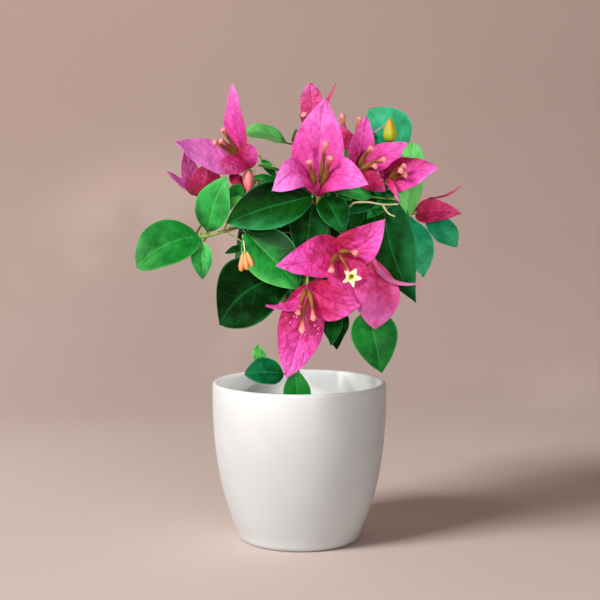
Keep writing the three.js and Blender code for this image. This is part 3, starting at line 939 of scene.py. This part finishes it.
NECK = 6 * MM
BRACT_GRID = (22, 34)
PAPER = 0.32 * MM


def add_head(name, heel, bracts, seed):
    """One head: its bracts as a piece, and the twig that it stands on."""
    axis = sum((b.along for b, skin in bracts), Vector()).normalized()
    bm = bmesh.new()
    skins = [bract_inside, bract_outside]
    for i, (b, skin) in enumerate(bracts):
        skins += [finish for finish in skin if finish not in skins]
        b.heel += heel
        b.seed = 7.3 * seed + 2.1 * i
        b.waves = 4.0 + b.seed % 3
        add_blade(bm, b, BRACT_GRID, PAPER, *[skins.index(finish) for finish in skin])
    root = heel - axis * NECK
    grow_twig(root, axis, 1.1, 0.75)
    sweep(twigs, [root, heel - axis * 2 * MM, heel + axis * 0.6 * MM], taper(0.75, -0.5), 7)
    return finish_piece(bm, "bracts_" + name, skins, ["head_" + name])


for number, (name, (heel, bracts)) in enumerate(HEADS.items()):
    piece = add_head(name, place(*heel), bracts, number)
    low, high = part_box("head_" + name)
    proud = max(max(low[k] - p[k], p[k] - high[k]) for p in piece.bound_box for k in range(3))
    print("    ", round(proud / MM, 1), "mm outside its solid's box")

# %% [markdown]
# ## Leaves in the light
# The leaves that show are modelled one by one from the CAD model's rows: the base, the direction and
# length to the tip, the width, the side that the upper face is turned to, the tint, the sideways bend,
# how full the heel and how drawn out the tip is, and the tone. Each is one blade with a stalk that runs
# on under it as the midrib.

# %% Leaves
LEAF_GRID = (18, 26)
THICK_LEAF = 0.35 * MM
THIN_LEAF = 0.3 * MM
# The tint and the tone of each row are partly the leaf's own colour and partly painted shade and painted
# light, chosen by where the leaf hangs.
LEAVES = {
    "left_tip": ((-66, -32, 211), (-166, -24, 46), 37, (-90, 40), "middle", -0.08, 0.56, 0.62, (-0.2, 0.3)),
    "left_upper": ((-61, -32, 215), (-42, 65, 40), 25, (-100, 20), "bright", 0, 0.8, 0.95, (-0.7, 0.3)),
    "left_lower": ((-65, -34, 208), (-81, -63, 26), 14, (-90, 20), "bright", 0, 0.65, 0.75, (0.8, -0.9)),
    "upper_left": ((-9, 5, 274), (-161, 12, 31), 20, (-75, 55), "bright", -0.05, 0.7, 0.75, (0.5, 0.9, 0.2)),
    "upper_right": ((71, 25, 258), (-163, 60, 46), 40, (-75, 25), "blue", 0, 1.15, 0.85, (0.0, 0.6)),
    "right_back": ((73, -8, 224), (35, 84, 50), 20, (-100, 10), "bright", 0, 0.6, 0.5, (0.9, 0.6)),
    "right_hanging": ((74, -10, 224), (-54, -68, 43), 22, (-80, 20), "blue", 0, 1.1, 1.05, (-0.1, 0.4)),
    "right_tip": ((86, 10, 223), (-21, -40, 31), 21, (-80, 40), "blue", 0, 1.1, 0.9, (0.0, 0.4)),
    "right_long": ((56, -25, 238), (-34, -70, 74), 33, (-90, 15), "deep", -0.08, 0.72, 1.12, (0.1, 0.1, 0.4)),
    "centre_left": ((9, -46, 238), (-172, -16, 59), 33, (-90, 25), "deep", 0, 0.8, 0.9, (-0.6, 0.1, 0.8)),
    "centre_low": ((8, -48, 234), (-115, -74, 41), 25, (-88, 12), "dark", 0, 0.72, 1.12, (0.2, 0.2, 0.1)),
    "centre_right": ((16, -50, 238), (-48, -52, 31), 21, (-80, 35), "deep", 0, 0.72, 1.12, (0.0, 0.3)),
    "centre_high": ((47, -38, 238), (-166, 8, 28), 15, (-95, 45), "bright", 0, 0.72, 1.12, (0.0, 0.2)),
    "low_left": ((1, -46, 184), (-159, -26, 62), 45, (-92, 18), "dark", -0.16, 1.3, 0.85, (0.0, 0.1, 0.1)),
    "middle_left": ((-35, -49, 215), (-18, -44, 51), 34, (-98, 30), "middle", 0, 0.75, 0.9,
        (-0.7, -0.1, -0.9)),
    "low_right": ((46, -32, 162), (-52, -71, 42), 31, (-88, 12), "middle", 0, 0.6, 0.95, (0.3, -0.4)),
    "low_middle": ((25, -25, 164), (-92, -69, 29), 19, (-105, 10), "dark", 0, 0.72, 1.12, (0.1, 0.1)),
    "pot_left": ((-11, -12, 117), (-163, 2, 27), 22, (-90, 38), "teal", 0, 0.65, 0.75, (-0.5, 0.1, -0.2)),
    "pot_front": ((0, -15, 94), (-138, 81, 29), 19, (-95, 10), "middle", 0, 0.72, 1.12, (-0.1, 0.1)),
    "pot_shoot": ((-26, -10, 124), (-143, 75, 13), 9, (-100, 10), "light", 0, 0.6, 0.7, (-0.5, 0.0)),
}


def leaf_piece(seed, name, base, chord, width, faces, tint, bend=0, blunt=0.72, point=1.12, tone=(0, 0)):
    """One leaf with its stalk and midrib as a piece, and the twig that it grows on."""
    azimuth, rise, length = chord
    along = aim(azimuth, rise)
    b = Blade(
        base, along, aim(*faces), length * MM, width * MM, 0.07, bend, fold=0.08, curl=-0.03, ripple=0.5,
        waves=3.0 + seed % 2, pucker=0.3, veins=6.0, slant=0.3, crumple=0.7, blunt=blunt, point=point,
        tone=tone, seed=seed)
    bm = bmesh.new()
    add_blade(bm, b, LEAF_GRID, THICK_LEAF)
    under = -0.35 * MM * (b.faces - along * b.faces.dot(along)).normalized()
    rib = [base - along * NECK] + [blade_point(b, t, 0) + under for t in (0.0, 0.15, 0.35, 0.55, 0.75)]
    for ring in sweep(bm, smooth_path(rib, 2), taper(0.62, 0.42), 6):
        for face in {face for v in ring for face in v.link_faces}:
            face.material_index = 1
    finish_piece(bm, "leaf_" + name, [leaf_upper[tint], leaf_under], ["spray_" + name])
    grow_twig(base - along * NECK, along, 0.8, 0.6)


for number, (name, (base, *rest)) in enumerate(LEAVES.items()):
    leaf_piece(3.7 * number, name, place(*base), *rest)

# %% [markdown]
# ## The back of the crown
# Nobody turns a plant's back to the room, but it has one. Heads and leaves alternate over it by the
# golden angle, the same rule that spaces leaves round a stem, turned out from the crown's middle.

# %% The back
GOLDEN = 0.618034
BACK_COUNT = 10
BACK_CENTRE = (12, 6, 214)
BACK_HALF = (40, 56, 44)
OPENING = 58  # degrees from the axis of a head to its bracts


def on_shell(centre, half, out):
    """The point of a rounded shell in that direction, from its centre and half sizes in millimetres."""
    return place(*[centre[k] + half[k] * out[k] for k in range(3)])


for i in range(BACK_COUNT):
    azimuth = 30 + 120 * (i + 0.5) / BACK_COUNT
    rise = -38 + 80 * ((0.35 + i * GOLDEN) % 1)
    base = on_shell(BACK_CENTRE, BACK_HALF, aim(azimuth, rise))
    name = f"back_{i + 1}"
    if i % 2 == 0:
        bracts = []
        for k in range(3):
            turn = math.radians(120 * k + 47 * i + 30)
            side = azimuth + OPENING * math.cos(turn)
            lift = rise + 0.8 * OPENING * math.sin(turn)
            if side > 160:  # it would stick out past the crown's left edge
                side, lift = 150, lift + 25
            bracts.append(bract(side, lift, 42 - 3 * k, azimuth, rise, -0.05))
        add_head(name, base, bracts, 20 + i)
    else:
        chord = (azimuth + (i % 3 - 1) * 14, rise - 42, 44 + (i % 4) * 3)
        tint = ("middle", "bright", "deep", "blue", "middle")[i // 2]
        leaf_piece(5.1 * i, name, base, chord, 27.3, (azimuth, 35), tint)

# %% [markdown]
# ## The leaves inside the crown
# Between the heads one looks into a mass of small dark leaves. Each mass in the CAD model gives a
# centre and a size. Twigs spread from the end of its bough to places spaced evenly over the mass, and
# leaves stand alternately along each twig, pointing out and hanging a little. All the turns come from
# one seeded source, so the plant grows the same every time. Many small leaves are joined in one mesh,
# so each has a plain tint, dealt out leaf by leaf, and only a few dozen faces.

# %% Inner leaves
def plain_leaf(name, tint, roughness):
    """A shaded leaf of one tint, a little uneven over the whole crown."""
    material, tree, shader = new_material(name)
    colour = tree.blend(uneven(tree, 60.0), darker(paint(*tint), 0.6), paint(*tint))
    fill(shader, {"Base Color": colour, "Roughness": roughness, "Specular IOR Level": 0.22})
    return material


def golden_direction(i, count, swing=0.0):
    """One of so many directions that are spread evenly, as far from each other as they can be."""
    height = 1 - 2 * (i + 0.5) / count
    level = math.sqrt(1 - height * height)
    turn = math.tau * GOLDEN * i + swing
    return Vector((level * math.cos(turn), level * math.sin(turn), height))


def outside_mass(point, centre, half):
    """True if the point is beyond the mass of leaves with that centre and half size."""
    return Vector([(point[k] - centre[k]) / half[k] for k in range(3)]).length > 1.08


inner_finish = [
    plain_leaf("inner_leaf_dark", (4, 44, 10), 0.4),
    plain_leaf("inner_leaf_deep", (8, 70, 18), 0.4),
    plain_leaf("inner_leaf_green", (20, 108, 38), 0.42),
    plain_leaf("inner_leaf_blue", (8, 84, 48), 0.38),
]
INNER_GRID = (4, 7)
DEALT = (0, 0, 1, 1, 2, 3)  # the two darkest tints come twice as often
TWIGS_EACH = 14
LEAVES_EACH = 6
SHORTEST = 9 * MM
dice = random.Random(41)
for name in HEARTS:
    centre, half = heart_box(name)
    end = limbs[name][-1]
    bm = bmesh.new()
    for i in range(TWIGS_EACH):
        out = golden_direction(i, TWIGS_EACH, dice.uniform(-0.3, 0.3))
        tip = centre + Vector([0.86 * out[k] * half[k] for k in range(3)])
        middle = end.lerp(tip, 0.5) + 0.12 * half.length * Vector((0, 0, 0.5)) * dice.uniform(0, 1)
        path = smooth_path([end, middle, tip], 4)
        sweep(twigs, path, taper(0.8, 0.4), 6)
        for k in range(LEAVES_EACH):
            share = 0.3 + 0.7 * k / (LEAVES_EACH - 1)
            foot = path[round(share * (len(path) - 1))]
            swing = any_way(dice)
            along = (out + 0.75 * swing + Vector((0, 0, -0.25))).normalized()
            face = (out + Vector((0, -0.4, 0.8)) + 0.5 * swing.cross(out)).normalized()
            length = dice.uniform(13, 22) * MM
            look = dice.choice(DEALT)
            seed = dice.uniform(0, 9)
            while length > SHORTEST and outside_mass(foot + along * length, centre, half):
                length -= 2 * MM
            if length < SHORTEST:
                continue
            b = Blade(foot, along, face, length, 0.62 * length, 0.06, fold=0.09, curl=-0.06, seed=seed)
            add_blade(bm, b, INNER_GRID, THIN_LEAF, look, look)
    finish_piece(bm, "inner_leaves_" + name, inner_finish, ["heart_" + name])

# %% [markdown]
# ## Leaves round the sides and back
# The large leaves close the crown towards the room only. Round the sides and over the back, leaves of
# middle size lie like tiles on a rounded shell: each hangs down from its foot and turns its upper face
# outwards, so the plant looks full from wherever one stands. Places spaced by the golden angle keep
# them even, and a seeded swing keeps them from looking combed. Four tints are dealt out leaf by leaf.

# %% Side leaves
side_finish = [
    plain_leaf("side_leaf_deep", (14, 88, 30), 0.4),
    plain_leaf("side_leaf_green", (30, 126, 52), 0.42),
    plain_leaf("side_leaf_bright", (58, 152, 68), 0.44),
    plain_leaf("side_leaf_blue", (14, 108, 72), 0.38),
]
SIDE_GRID = (6, 10)
SHELL_PLACES = 130
SHELL_CENTRE = (18, 12, 222)
SHELL_HALF = (46, 46, 38)
dice = random.Random(73)
bm = bmesh.new()
for i in range(SHELL_PLACES):
    out = golden_direction(i, SHELL_PLACES)
    swing = any_way(dice)
    length = dice.uniform(24, 34) * MM
    look = dice.choice(DEALT)
    if out.y < -0.3 or abs(out.z) > 0.94:
        continue
    foot = on_shell(SHELL_CENTRE, SHELL_HALF, out)
    along = (0.3 * out + 0.5 * swing + Vector((0, 0.1, -0.8))).normalized()
    face = (out + Vector((0, 0, 0.5))).normalized()
    b = Blade(
        foot, along, face, length, 0.56 * length, 0.09, 0.1 * swing.x, fold=0.08, curl=-0.05, ripple=0.5,
        seed=7.3 * i)
    add_blade(bm, b, SIDE_GRID, THIN_LEAF, look, look)
    grow_twig(foot - along * NECK, (out + 0.4 * along).normalized(), 0.7, 0.5, side_twigs)
finish_piece(bm, "side_leaves", side_finish)

# %% [markdown]
# ## The small flowers
# The true flowers are the slim tubes inside a head, one to a bract. A closed one is olive-brown,
# five-angled, thin at the waist and salmon-pink at its swollen tip. Each tube is swept from the heel to
# its tip, and its five angles come from pulling every second vertex of its rings outwards. The table
# gives the tips, for the heads whose tubes show.

# %% Flower tubes
tube_finish, tree, shader = new_material("flower_tube")
fine = uneven(tree, 1500.0)
share = tree.math("ADD", tree.own("along"), tree.math("MULTIPLY", fine, 0.08))
colour = tree.ramp(share, [
    (0.0, 92, 62, 14), (0.35, 140, 92, 30), (0.72, 122, 54, 24), (0.86, 220, 112, 96), (1.0, 236, 148, 144)])
fill(shader, {"Base Color": colour, "Normal": tree.bump(fine, 0.15 * MM)})


def tube_radius(t):
    """Swollen near the foot, slim at the waist, with a blunt bulb at the tip."""
    body = 1.35 + 0.3 * math.exp(-(((t - 0.22) / 0.16) ** 2)) - 0.2 * math.exp(-(((t - 0.62) / 0.2) ** 2))
    bulb = 0.7 * math.exp(-(((t - 0.93) / 0.07) ** 2))
    return (body + bulb) * MM * min(1.0, 0.35 + 12 * (1 - t)) * min(1.0, 0.5 + 6 * t)


def add_tube(bm, foot, tip, arch):
    """One closed flower from its foot to its tip, arched that way."""
    for ring in sweep(bm, smooth_path([foot, foot.lerp(tip, 0.5) + arch, tip], 8), tube_radius, 10):
        middle = middle_of(ring)
        for v in ring[::2]:
            v.co = middle + (v.co - middle) * 1.16


TUBES = {
    "top_left": [(-50.8, -34, 282.9), (-56.6, -36, 274.4), (-52.3, -38, 275.5)],
    "crest": [(2.5, 18, 294), (12, 16, 296), (6, 30, 300)],
    "front_high": [(6.1, -66, 261.8), (16.9, -64, 273.6), (20, -70, 264.3)],
    "shoulder": [(29, 8, 294), (41.5, 10, 292)],
    "right_front": [(47.6, -44, 270.3), (56, -50, 262.4), (50, -46, 258)],
    "right_side": [(69.6, -44, 258.6), (69.8, -46, 252.4), (66.5, -50, 255.4)],
    "far_right": [(93, 11, 231), (90, 17, 230), (86, 15, 233)],
    "front_middle": [(19.9, -84, 191.7), (36.4, -80, 203.4)],
    "front_low": [(1.7, -88, 153.4), (-1.4, -88, 165.2), (8.9, -88, 161.4)],
    "low_left": [(-72, 5, 252), (-66, 7, 251), (-69, 10, 248)],
}
TUBE_STARTS = {"front_high": 10, "front_low": 4, "top_left": 6}
for name, tips in TUBES.items():
    heel = place(*HEADS[name][0])
    bm = bmesh.new()
    for k, tip in enumerate(tips):
        goal = place(*tip)
        foot = heel + (goal - heel).normalized() * TUBE_STARTS.get(name, 2.5) * MM
        if name in ("crest", "shoulder"):
            foot.y += 8 * MM
        add_tube(bm, foot, goal, Vector((0.3 * (k - 1), -0.4, 0.5)) * 2 * MM)
    finish_piece(bm, "flower_tubes_" + name, [tube_finish])

# %% [markdown]
# ## The open flower
# One tube has opened into a small cream star with a green-yellow throat. Its funnel is a curved line
# spun round an axis, after which each ring is pulled out into five notched lobes, more the farther out
# it lies. It is built upright at the origin and then set on the end of its tube.

# %% Open flower
def stand(point, direction):
    """Takes something built upright at the origin to the point, with its top in that direction."""
    return Matrix.Translation(point) @ UP.rotation_difference(direction).to_matrix().to_4x4()


star_finish, tree, shader = new_material("open_flower")
colour = tree.ramp(tree.own("along"), [
    (0.0, 120, 132, 20), (0.3, 190, 196, 50), (0.48, 238, 236, 160), (1.0, 236, 232, 200)])
fill(shader, {
    "Base Color": colour, "Roughness": 0.55, "Normal": tree.bump(uneven(tree, 1200.0), 0.2 * MM),
    "Subsurface Weight": 0.2, "Subsurface Scale": 0.8 * MM})

FUNNEL = [(0.8, -6.0), (1.0, -3.0), (1.4, -1.0), (2.0, -0.1), (2.9, 0.2), (3.9, 0.2), (4.8, 0.05), (5.5, 0.3)]
bm = bmesh.new()
along = layer(bm, "along")
spin_line(bm, [Vector((r * MM, 0, z * MM)) for r, z in FUNNEL], 60)
for v in bm.verts:
    reach = math.hypot(v.co.x, v.co.y)
    turn = math.atan2(v.co.y, v.co.x)
    outer = max(0.0, (reach - 1.4 * MM) / (3.6 * MM))
    v[along] = min(1.0, reach / (4.6 * MM))
    lobes = 1 + outer * (0.16 - 0.5 * abs(math.sin(2.5 * turn)) ** 1.1)
    v.co.x *= lobes
    v.co.y *= lobes
    v.co.z += outer * (0.5 * math.cos(5 * turn + 1) + 0.3 * math.sin(10 * turn)) * MM
bmesh.ops.solidify(bm, geom=bm.faces[:], thickness=0.25 * MM)
star_place = place(32.8, -85, 188.6)
star_faces = Vector((0.12, -0.97, -0.2)).normalized()
bmesh.ops.transform(bm, matrix=stand(star_place, star_faces), verts=bm.verts)
finish_piece(bm, "open_flower", [star_finish])
bm = bmesh.new()
heel = place(*HEADS["front_middle"][0])
back_of_star = star_place - star_faces * 5 * MM
path = smooth_path([heel, heel.lerp(back_of_star, 0.6) + place(0, 0, 1.5), back_of_star], 8)
sweep(bm, path, taper(1.2, 0.3), 10)
finish_piece(bm, "open_flower_tube", [tube_finish])

# %% [markdown]
# ## Buds, threads and a bare twig
# A crown in bloom always has parts at other ages: a yellow-green bud, a cluster of small orange buds
# that hangs from a leaf joint, a young bract still folded, and a cream twig that has dropped its
# flowers. A bud is a sphere drawn out to a point and given seams where its bracts meet.

# %% Buds
def bud_material(name, foot, middle, tip):
    """A bud whose colour runs from its foot to its tip."""
    material, tree, shader = new_material(name)
    fine = uneven(tree, 900.0)
    share = tree.math("ADD", tree.own("along"), tree.math("MULTIPLY", fine, 0.15))
    fill(shader, {
        "Base Color": tree.ramp(share, [(0, *foot), (0.5, *middle), (1, *tip)]),
        "Subsurface Weight": 0.2, "Subsurface Scale": 1.0 * MM, "Normal": tree.bump(fine, 0.2 * MM)})
    return material


def add_bud(bm, foot, tip, width, seams, depth):
    """A pointed bud from foot to tip, with that many seams along it."""
    along = layer(bm, "along")
    ball = bmesh.ops.create_uvsphere(bm, u_segments=24, v_segments=14, radius=1.0)["verts"]
    for v in ball:
        t = 0.5 + 0.5 * v.co.z
        turn = math.atan2(v.co.y, v.co.x)
        round_part = math.hypot(v.co.x, v.co.y)
        belly = width * MM * (1.15 - 0.75 * t) * (1 - depth + depth * abs(math.cos(0.5 * seams * turn)))
        v[along] = t
        reach = belly * round_part
        v.co = Vector((math.cos(turn) * reach, math.sin(turn) * reach, t * (tip - foot).length))
    bmesh.ops.transform(bm, matrix=stand(foot, tip - foot), verts=ball)


BUDS = {
    "yellow_bud": ((120, 160, 10), (176, 176, 20), (206, 140, 40), 4, 0.16, [
        ((60, -28, 273.5), (59.8, -28, 289.5), 5.4)]),
    "orange_buds": ((200, 126, 64), (208, 142, 82), (178, 166, 88), 5, 0.1, [
        ((-37.5, -63, 190.5), (-36, -59, 203.5), 2.6), ((-33.5, -64, 191.5), (-35, -59, 203), 2.5),
        ((-29.8, -63, 193.5), (-34, -59, 203.5), 2.4)]),
    "folded_bract": ((236, 118, 128), (240, 140, 142), (222, 70, 96), 3, 0.2, [
        ((-34, -36, 255), (-32.5, -40, 239.5), 4.8)]),
}
for name, (low, middle, high, seams, depth, buds) in BUDS.items():
    bm = bmesh.new()
    for foot, tip, width in buds:
        add_bud(bm, place(*foot), place(*tip), width, seams, depth)
    finish_piece(bm, name, [bud_material(name.rstrip("s"), low, middle, high)])

# %% Threads and bare twig
THREADS = {
    "bare_twig": (0.75, 0.5, [
        [(33, -46, 232), (36, -53, 234.6), (45, -54, 234.8), (53.9, -55, 233.4), (63.5, -57, 233.6)],
        [(53.4, -55, 233.4), (57, -56.5, 228), (61.6, -57, 225.6)]]),
    "cream_stalks": (0.55, 0.45, [
        [(-26, -22, 260), (-16, -26, 257.5), (-6, -28, 254)],
        [(-30, -26, 256), (-28, -32, 246), (-24, -36, 238)],
        [(-37, -44, 213), (-36, -54, 209), (-35, -59, 203)]]),
}
for name, (thick, thin, lines) in THREADS.items():
    bm = bmesh.new()
    for points in lines:
        path = smooth_path([place(*point) for point in points], 6)
        sweep(bm, path, lambda t: (thick + (thin - thick) * t) * MM, 8)
    finish_piece(bm, name, [pale_twig])

# %% [markdown]
# ## Small leaves and droplets
# Young leaves and small side leaves fill the joints between the large ones. They come from a table of
# base, chord, width, facing and tint, like the large ones, and are joined in one mesh because they are
# small. A few water drops, each a flattened icosphere, lie on the lowest bract.

# %% Small leaves
SMALL_LEAVES = [
    ((-37, -34, 245), (-156, -40, 15), 9.5, (-95, 20), "middle"),
    ((-37, -40, 238), (-161, -40, 16), 8, (-95, 40), "light"),
    ((-12, -22, 254), (-152, 13, 18), 6.5, (-95, 50), "light"),
    ((-15, -30, 247.5), (-159, 9, 18), 7, (-95, 45), "middle"),
    ((-25, -20, 262), (-40, -44, 18), 6.5, (-95, 30), "middle"),
    ((-13, -34, 245), (-153, -8, 19), 8, (-95, 40), "middle"),
    ((-20, -24, 250), (-30, -10, 20), 9, (-95, 50), "deep"),
    ((0.4, -14, 272), (-124, 64, 12), 11, (-85, 25), "lime"),
    ((-37, -38, 204.5), (-161, -17, 13), 5.5, (-95, 30), "deep"),
    ((26, -27, 161), (-114, -60, 25), 10.5, (-100, 10), "deep"),
    ((34, -24, 245), (-20, -18, 26), 12, (-95, 30), "middle"),
    ((51, -28, 238), (-149, -26, 27), 14, (-92, 25), "deep"),
    ((48, -26, 232), (-139, -50, 30), 15, (-92, 15), "deep"),
    ((62, -24, 241), (-149, -41, 27), 13, (-92, 20), "middle"),
    ((20, -34, 242), (-35, -20, 19), 9, (-95, 30), "middle"),
    ((38, -20, 222), (-100, -60, 26), 15, (-92, 10), "deep"),
    ((31, 4, 268), (-60, -30, 12), 7, (-95, 20), "middle"),
]
SMALL_TINTS = ("middle", "light", "deep", "lime")
SMALL_GRID = (10, 16)
bm = bmesh.new()
for number, (base, (azimuth, rise, length), width, faces, tint) in enumerate(SMALL_LEAVES):
    swing = math.sin(2.4 * number)
    along = aim(azimuth, rise)
    b = Blade(
        place(*base), along, aim(*faces), length * MM, width * MM, 0.08, fold=0.09, pucker=0.2,
        veins=6.0, slant=0.3, blunt=0.72, point=0.95, tone=(-0.2, 0.4 * swing, 0.3 * swing),
        seed=1.7 * number)
    add_blade(bm, b, SMALL_GRID, THIN_LEAF, 1 + SMALL_TINTS.index(tint), 0)
    grow_twig(place(*base), along, 0.6, 0.4)
small_finish = [leaf_under] + [leaf_upper[tint] for tint in SMALL_TINTS]
finish_piece(bm, "small_leaves", small_finish)

# %% Droplets
drop_finish, tree, shader = new_material("water_drop")
# Painted light: the drops are opaque and a paler pink than the bract, for the light that a clear drop gathers
# and lets through.
colour = tree.blend(uneven(tree, 800.0), paint(226, 90, 170), paint(244, 150, 210))
fill(shader, {"Base Color": colour, "Roughness": 0.06})
DROPS = 46
wet = HEADS["front_low"][1][0][0]
dice = random.Random(5)
bm = bmesh.new()
for _ in range(DROPS):
    t = dice.uniform(0.3, 0.92)
    u = dice.uniform(-0.85, 0.85)
    size = dice.uniform(0.25, 0.6) * MM
    spot = blade_point(wet, t, u)
    facing = (blade_point(wet, t, u + 0.04) - spot).cross(blade_point(wet, t + 0.02, u) - spot).normalized()
    facing = facing if facing.dot(wet.faces) > 0 else -facing
    shape = Matrix.Diagonal((size, size * dice.uniform(0.8, 1.3), 0.55 * size, 1))
    drop = stand(spot + facing * 0.4 * MM, facing) @ shape
    bmesh.ops.create_icosphere(bm, subdivisions=2, radius=1.0, matrix=drop)
finish_piece(bm, "droplets", [drop_finish], crease=180)

# %% All twigs in one piece
finish_piece(twigs, "twigs", [young_bark])
finish_piece(side_twigs, "side_twigs", [young_bark])

# %% [markdown]
# ## Floor and backdrop
# The plant stands on a plain pale floor that runs up into a plain backdrop, painted a little deeper
# towards the wall. The fade from the floor's paint to the wall's is partly two paints and partly
# painted light on the foot of the backdrop, in place of a lamp there. One strip bent in a soft curve
# does for both: a grid whose far part is lifted along a quarter circle. Its back is left clear, so the
# plant can be looked at from behind the wall too.

# %% Studio
def studio_material(name):
    """Matt clay paint, paler on the floor than on the wall, partly as painted light, and clear when seen from
    its back.
    """
    material, tree, shader = new_material(name)
    cloud = uneven(tree, 1.6, 2.0)
    floor = tree.blend(cloud, paint(214, 197, 190), paint(222, 206, 199))
    wall = tree.blend(cloud, paint(173, 147, 137), paint(181, 155, 145))
    # Painted light: the floor's paler paint fades into the deeper wall paint over the back of the floor and
    # the curve.
    far = tree.fade(tree.add("SeparateXYZ", {0: tree.place()})["Y"], 0.2, 1.1)
    fill(shader, {"Base Color": tree.blend(far, floor, wall), "Roughness": 0.9})
    back = tree.add("NewGeometry", {})["Backfacing"]
    clear = tree.add("BsdfTransparent", {})[0]
    seen = tree.add("MixShader", {0: back, 1: shader.outputs[0], 2: clear})[0]
    fill(tree.nodes["Material Output"], {"Surface": seen})
    return material


SWEEP_START = 0.55
SWEEP_RADIUS = 0.35
bm = bmesh.new()
bmesh.ops.create_grid(bm, x_segments=8, y_segments=60, size=3.0)
for v in bm.verts:
    run = v.co.y - SWEEP_START
    if run > 0:
        bend = min(run / SWEEP_RADIUS, math.pi / 2)
        rest = max(0.0, run - SWEEP_RADIUS * math.pi / 2)
        v.co.y = SWEEP_START + SWEEP_RADIUS * math.sin(bend)
        v.co.z = SWEEP_RADIUS * (1 - math.cos(bend)) + rest
for face in bm.faces:
    face.smooth = True
mesh = bpy.data.meshes.new("studio")
bm.to_mesh(mesh)
bm.free()
mesh.materials.append(studio_material("clay_paint"))
studio = bpy.data.objects.new("studio", mesh)
bpy.context.scene.collection.objects.link(studio)
studio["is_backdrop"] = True
print(studio.name, [round(side, 2) for side in studio.dimensions], "metres")

# %% [markdown]
# ## Light
# A soft window, high and far to the left, lights the left side of the pot and throws the shadow to its
# right. A weak panel in front keeps the shaded leaves readable. Light that a bright room would bounce
# back is added where it matters by narrow lamps: one on the crown, and three that reach over the rim
# into the pot, which would be a dark hole without them. A narrow beam keeps each off its neighbours.
# Colours are shown as they are, without a film look.

# %% Lights
def hang_lamp(name, kind, location, target, power, **settings):
    """Hangs a lamp there, aimed at the target, with the settings of its kind."""
    data = bpy.data.lights.new(name, kind)
    data.energy = power
    for setting, value in settings.items():
        setattr(data, setting, value)
    lamp = bpy.data.objects.new(name, data)
    lamp.location = location
    lamp.rotation_euler = (Vector(target) - Vector(location)).to_track_quat("-Z", "Y").to_euler()
    bpy.context.scene.collection.objects.link(lamp)


hang_lamp("window", "AREA", (-2.1, -1.55, 1.98), (0, 0, 0.16), 106.0, size=1.1, color=(1.0, 1.0, 0.99))
hang_lamp("front_fill", "AREA", (0.35, -1.7, 0.42), (0, 0, 0.2), 7.0, size=0.9, color=(0.98, 0.99, 1.0))
NARROW = {
    "crown_fill": ((0.45, -1.6, 0.5), place(38, 0, 262), 46.0, 7.5, 0.04),
    "into_pot_front": ((0.0, -1.3, 0.4), place(-2, 50, 151), 27.0, 5.4, 0.03),
    "into_pot_side": ((-0.594, -1.055, 0.395), place(33, 48, 132), 66.0, 4.2, 0.07),
    "into_pot_back": ((1.25, 0.28, 0.37), place(-45, 22, 128), 60.0, 3.6, 0.04),
}
for name, (location, target, power, angle, blur) in NARROW.items():
    beam = {"spot_size": math.radians(angle), "spot_blend": 0.6, "shadow_soft_size": blur}
    hang_lamp(name, "SPOT", location, target, power, **beam)
world = bpy.data.worlds.new("room")
world.use_nodes = True
fill(world.node_tree.nodes["Background"], {"Color": paint(228, 208, 198), "Strength": 0.1})
bpy.context.scene.world = world
bpy.context.scene.view_settings.view_transform = "Standard"
print("lamps:", [lamp.name for lamp in bpy.data.lights])

# %% [markdown]
# ## Size
# The looks must not change the plant's size. The box of the finished plant is written beside the box
# of the CAD model, and a difference of a few millimetres is the fringe of the leaves.

# %% Size and finish
made_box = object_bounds()
for name, corners in (("CAD", cad_box), ("made", made_box)):
    print(name, [[round(v / MM, 1) for v in corner] for corner in corners])
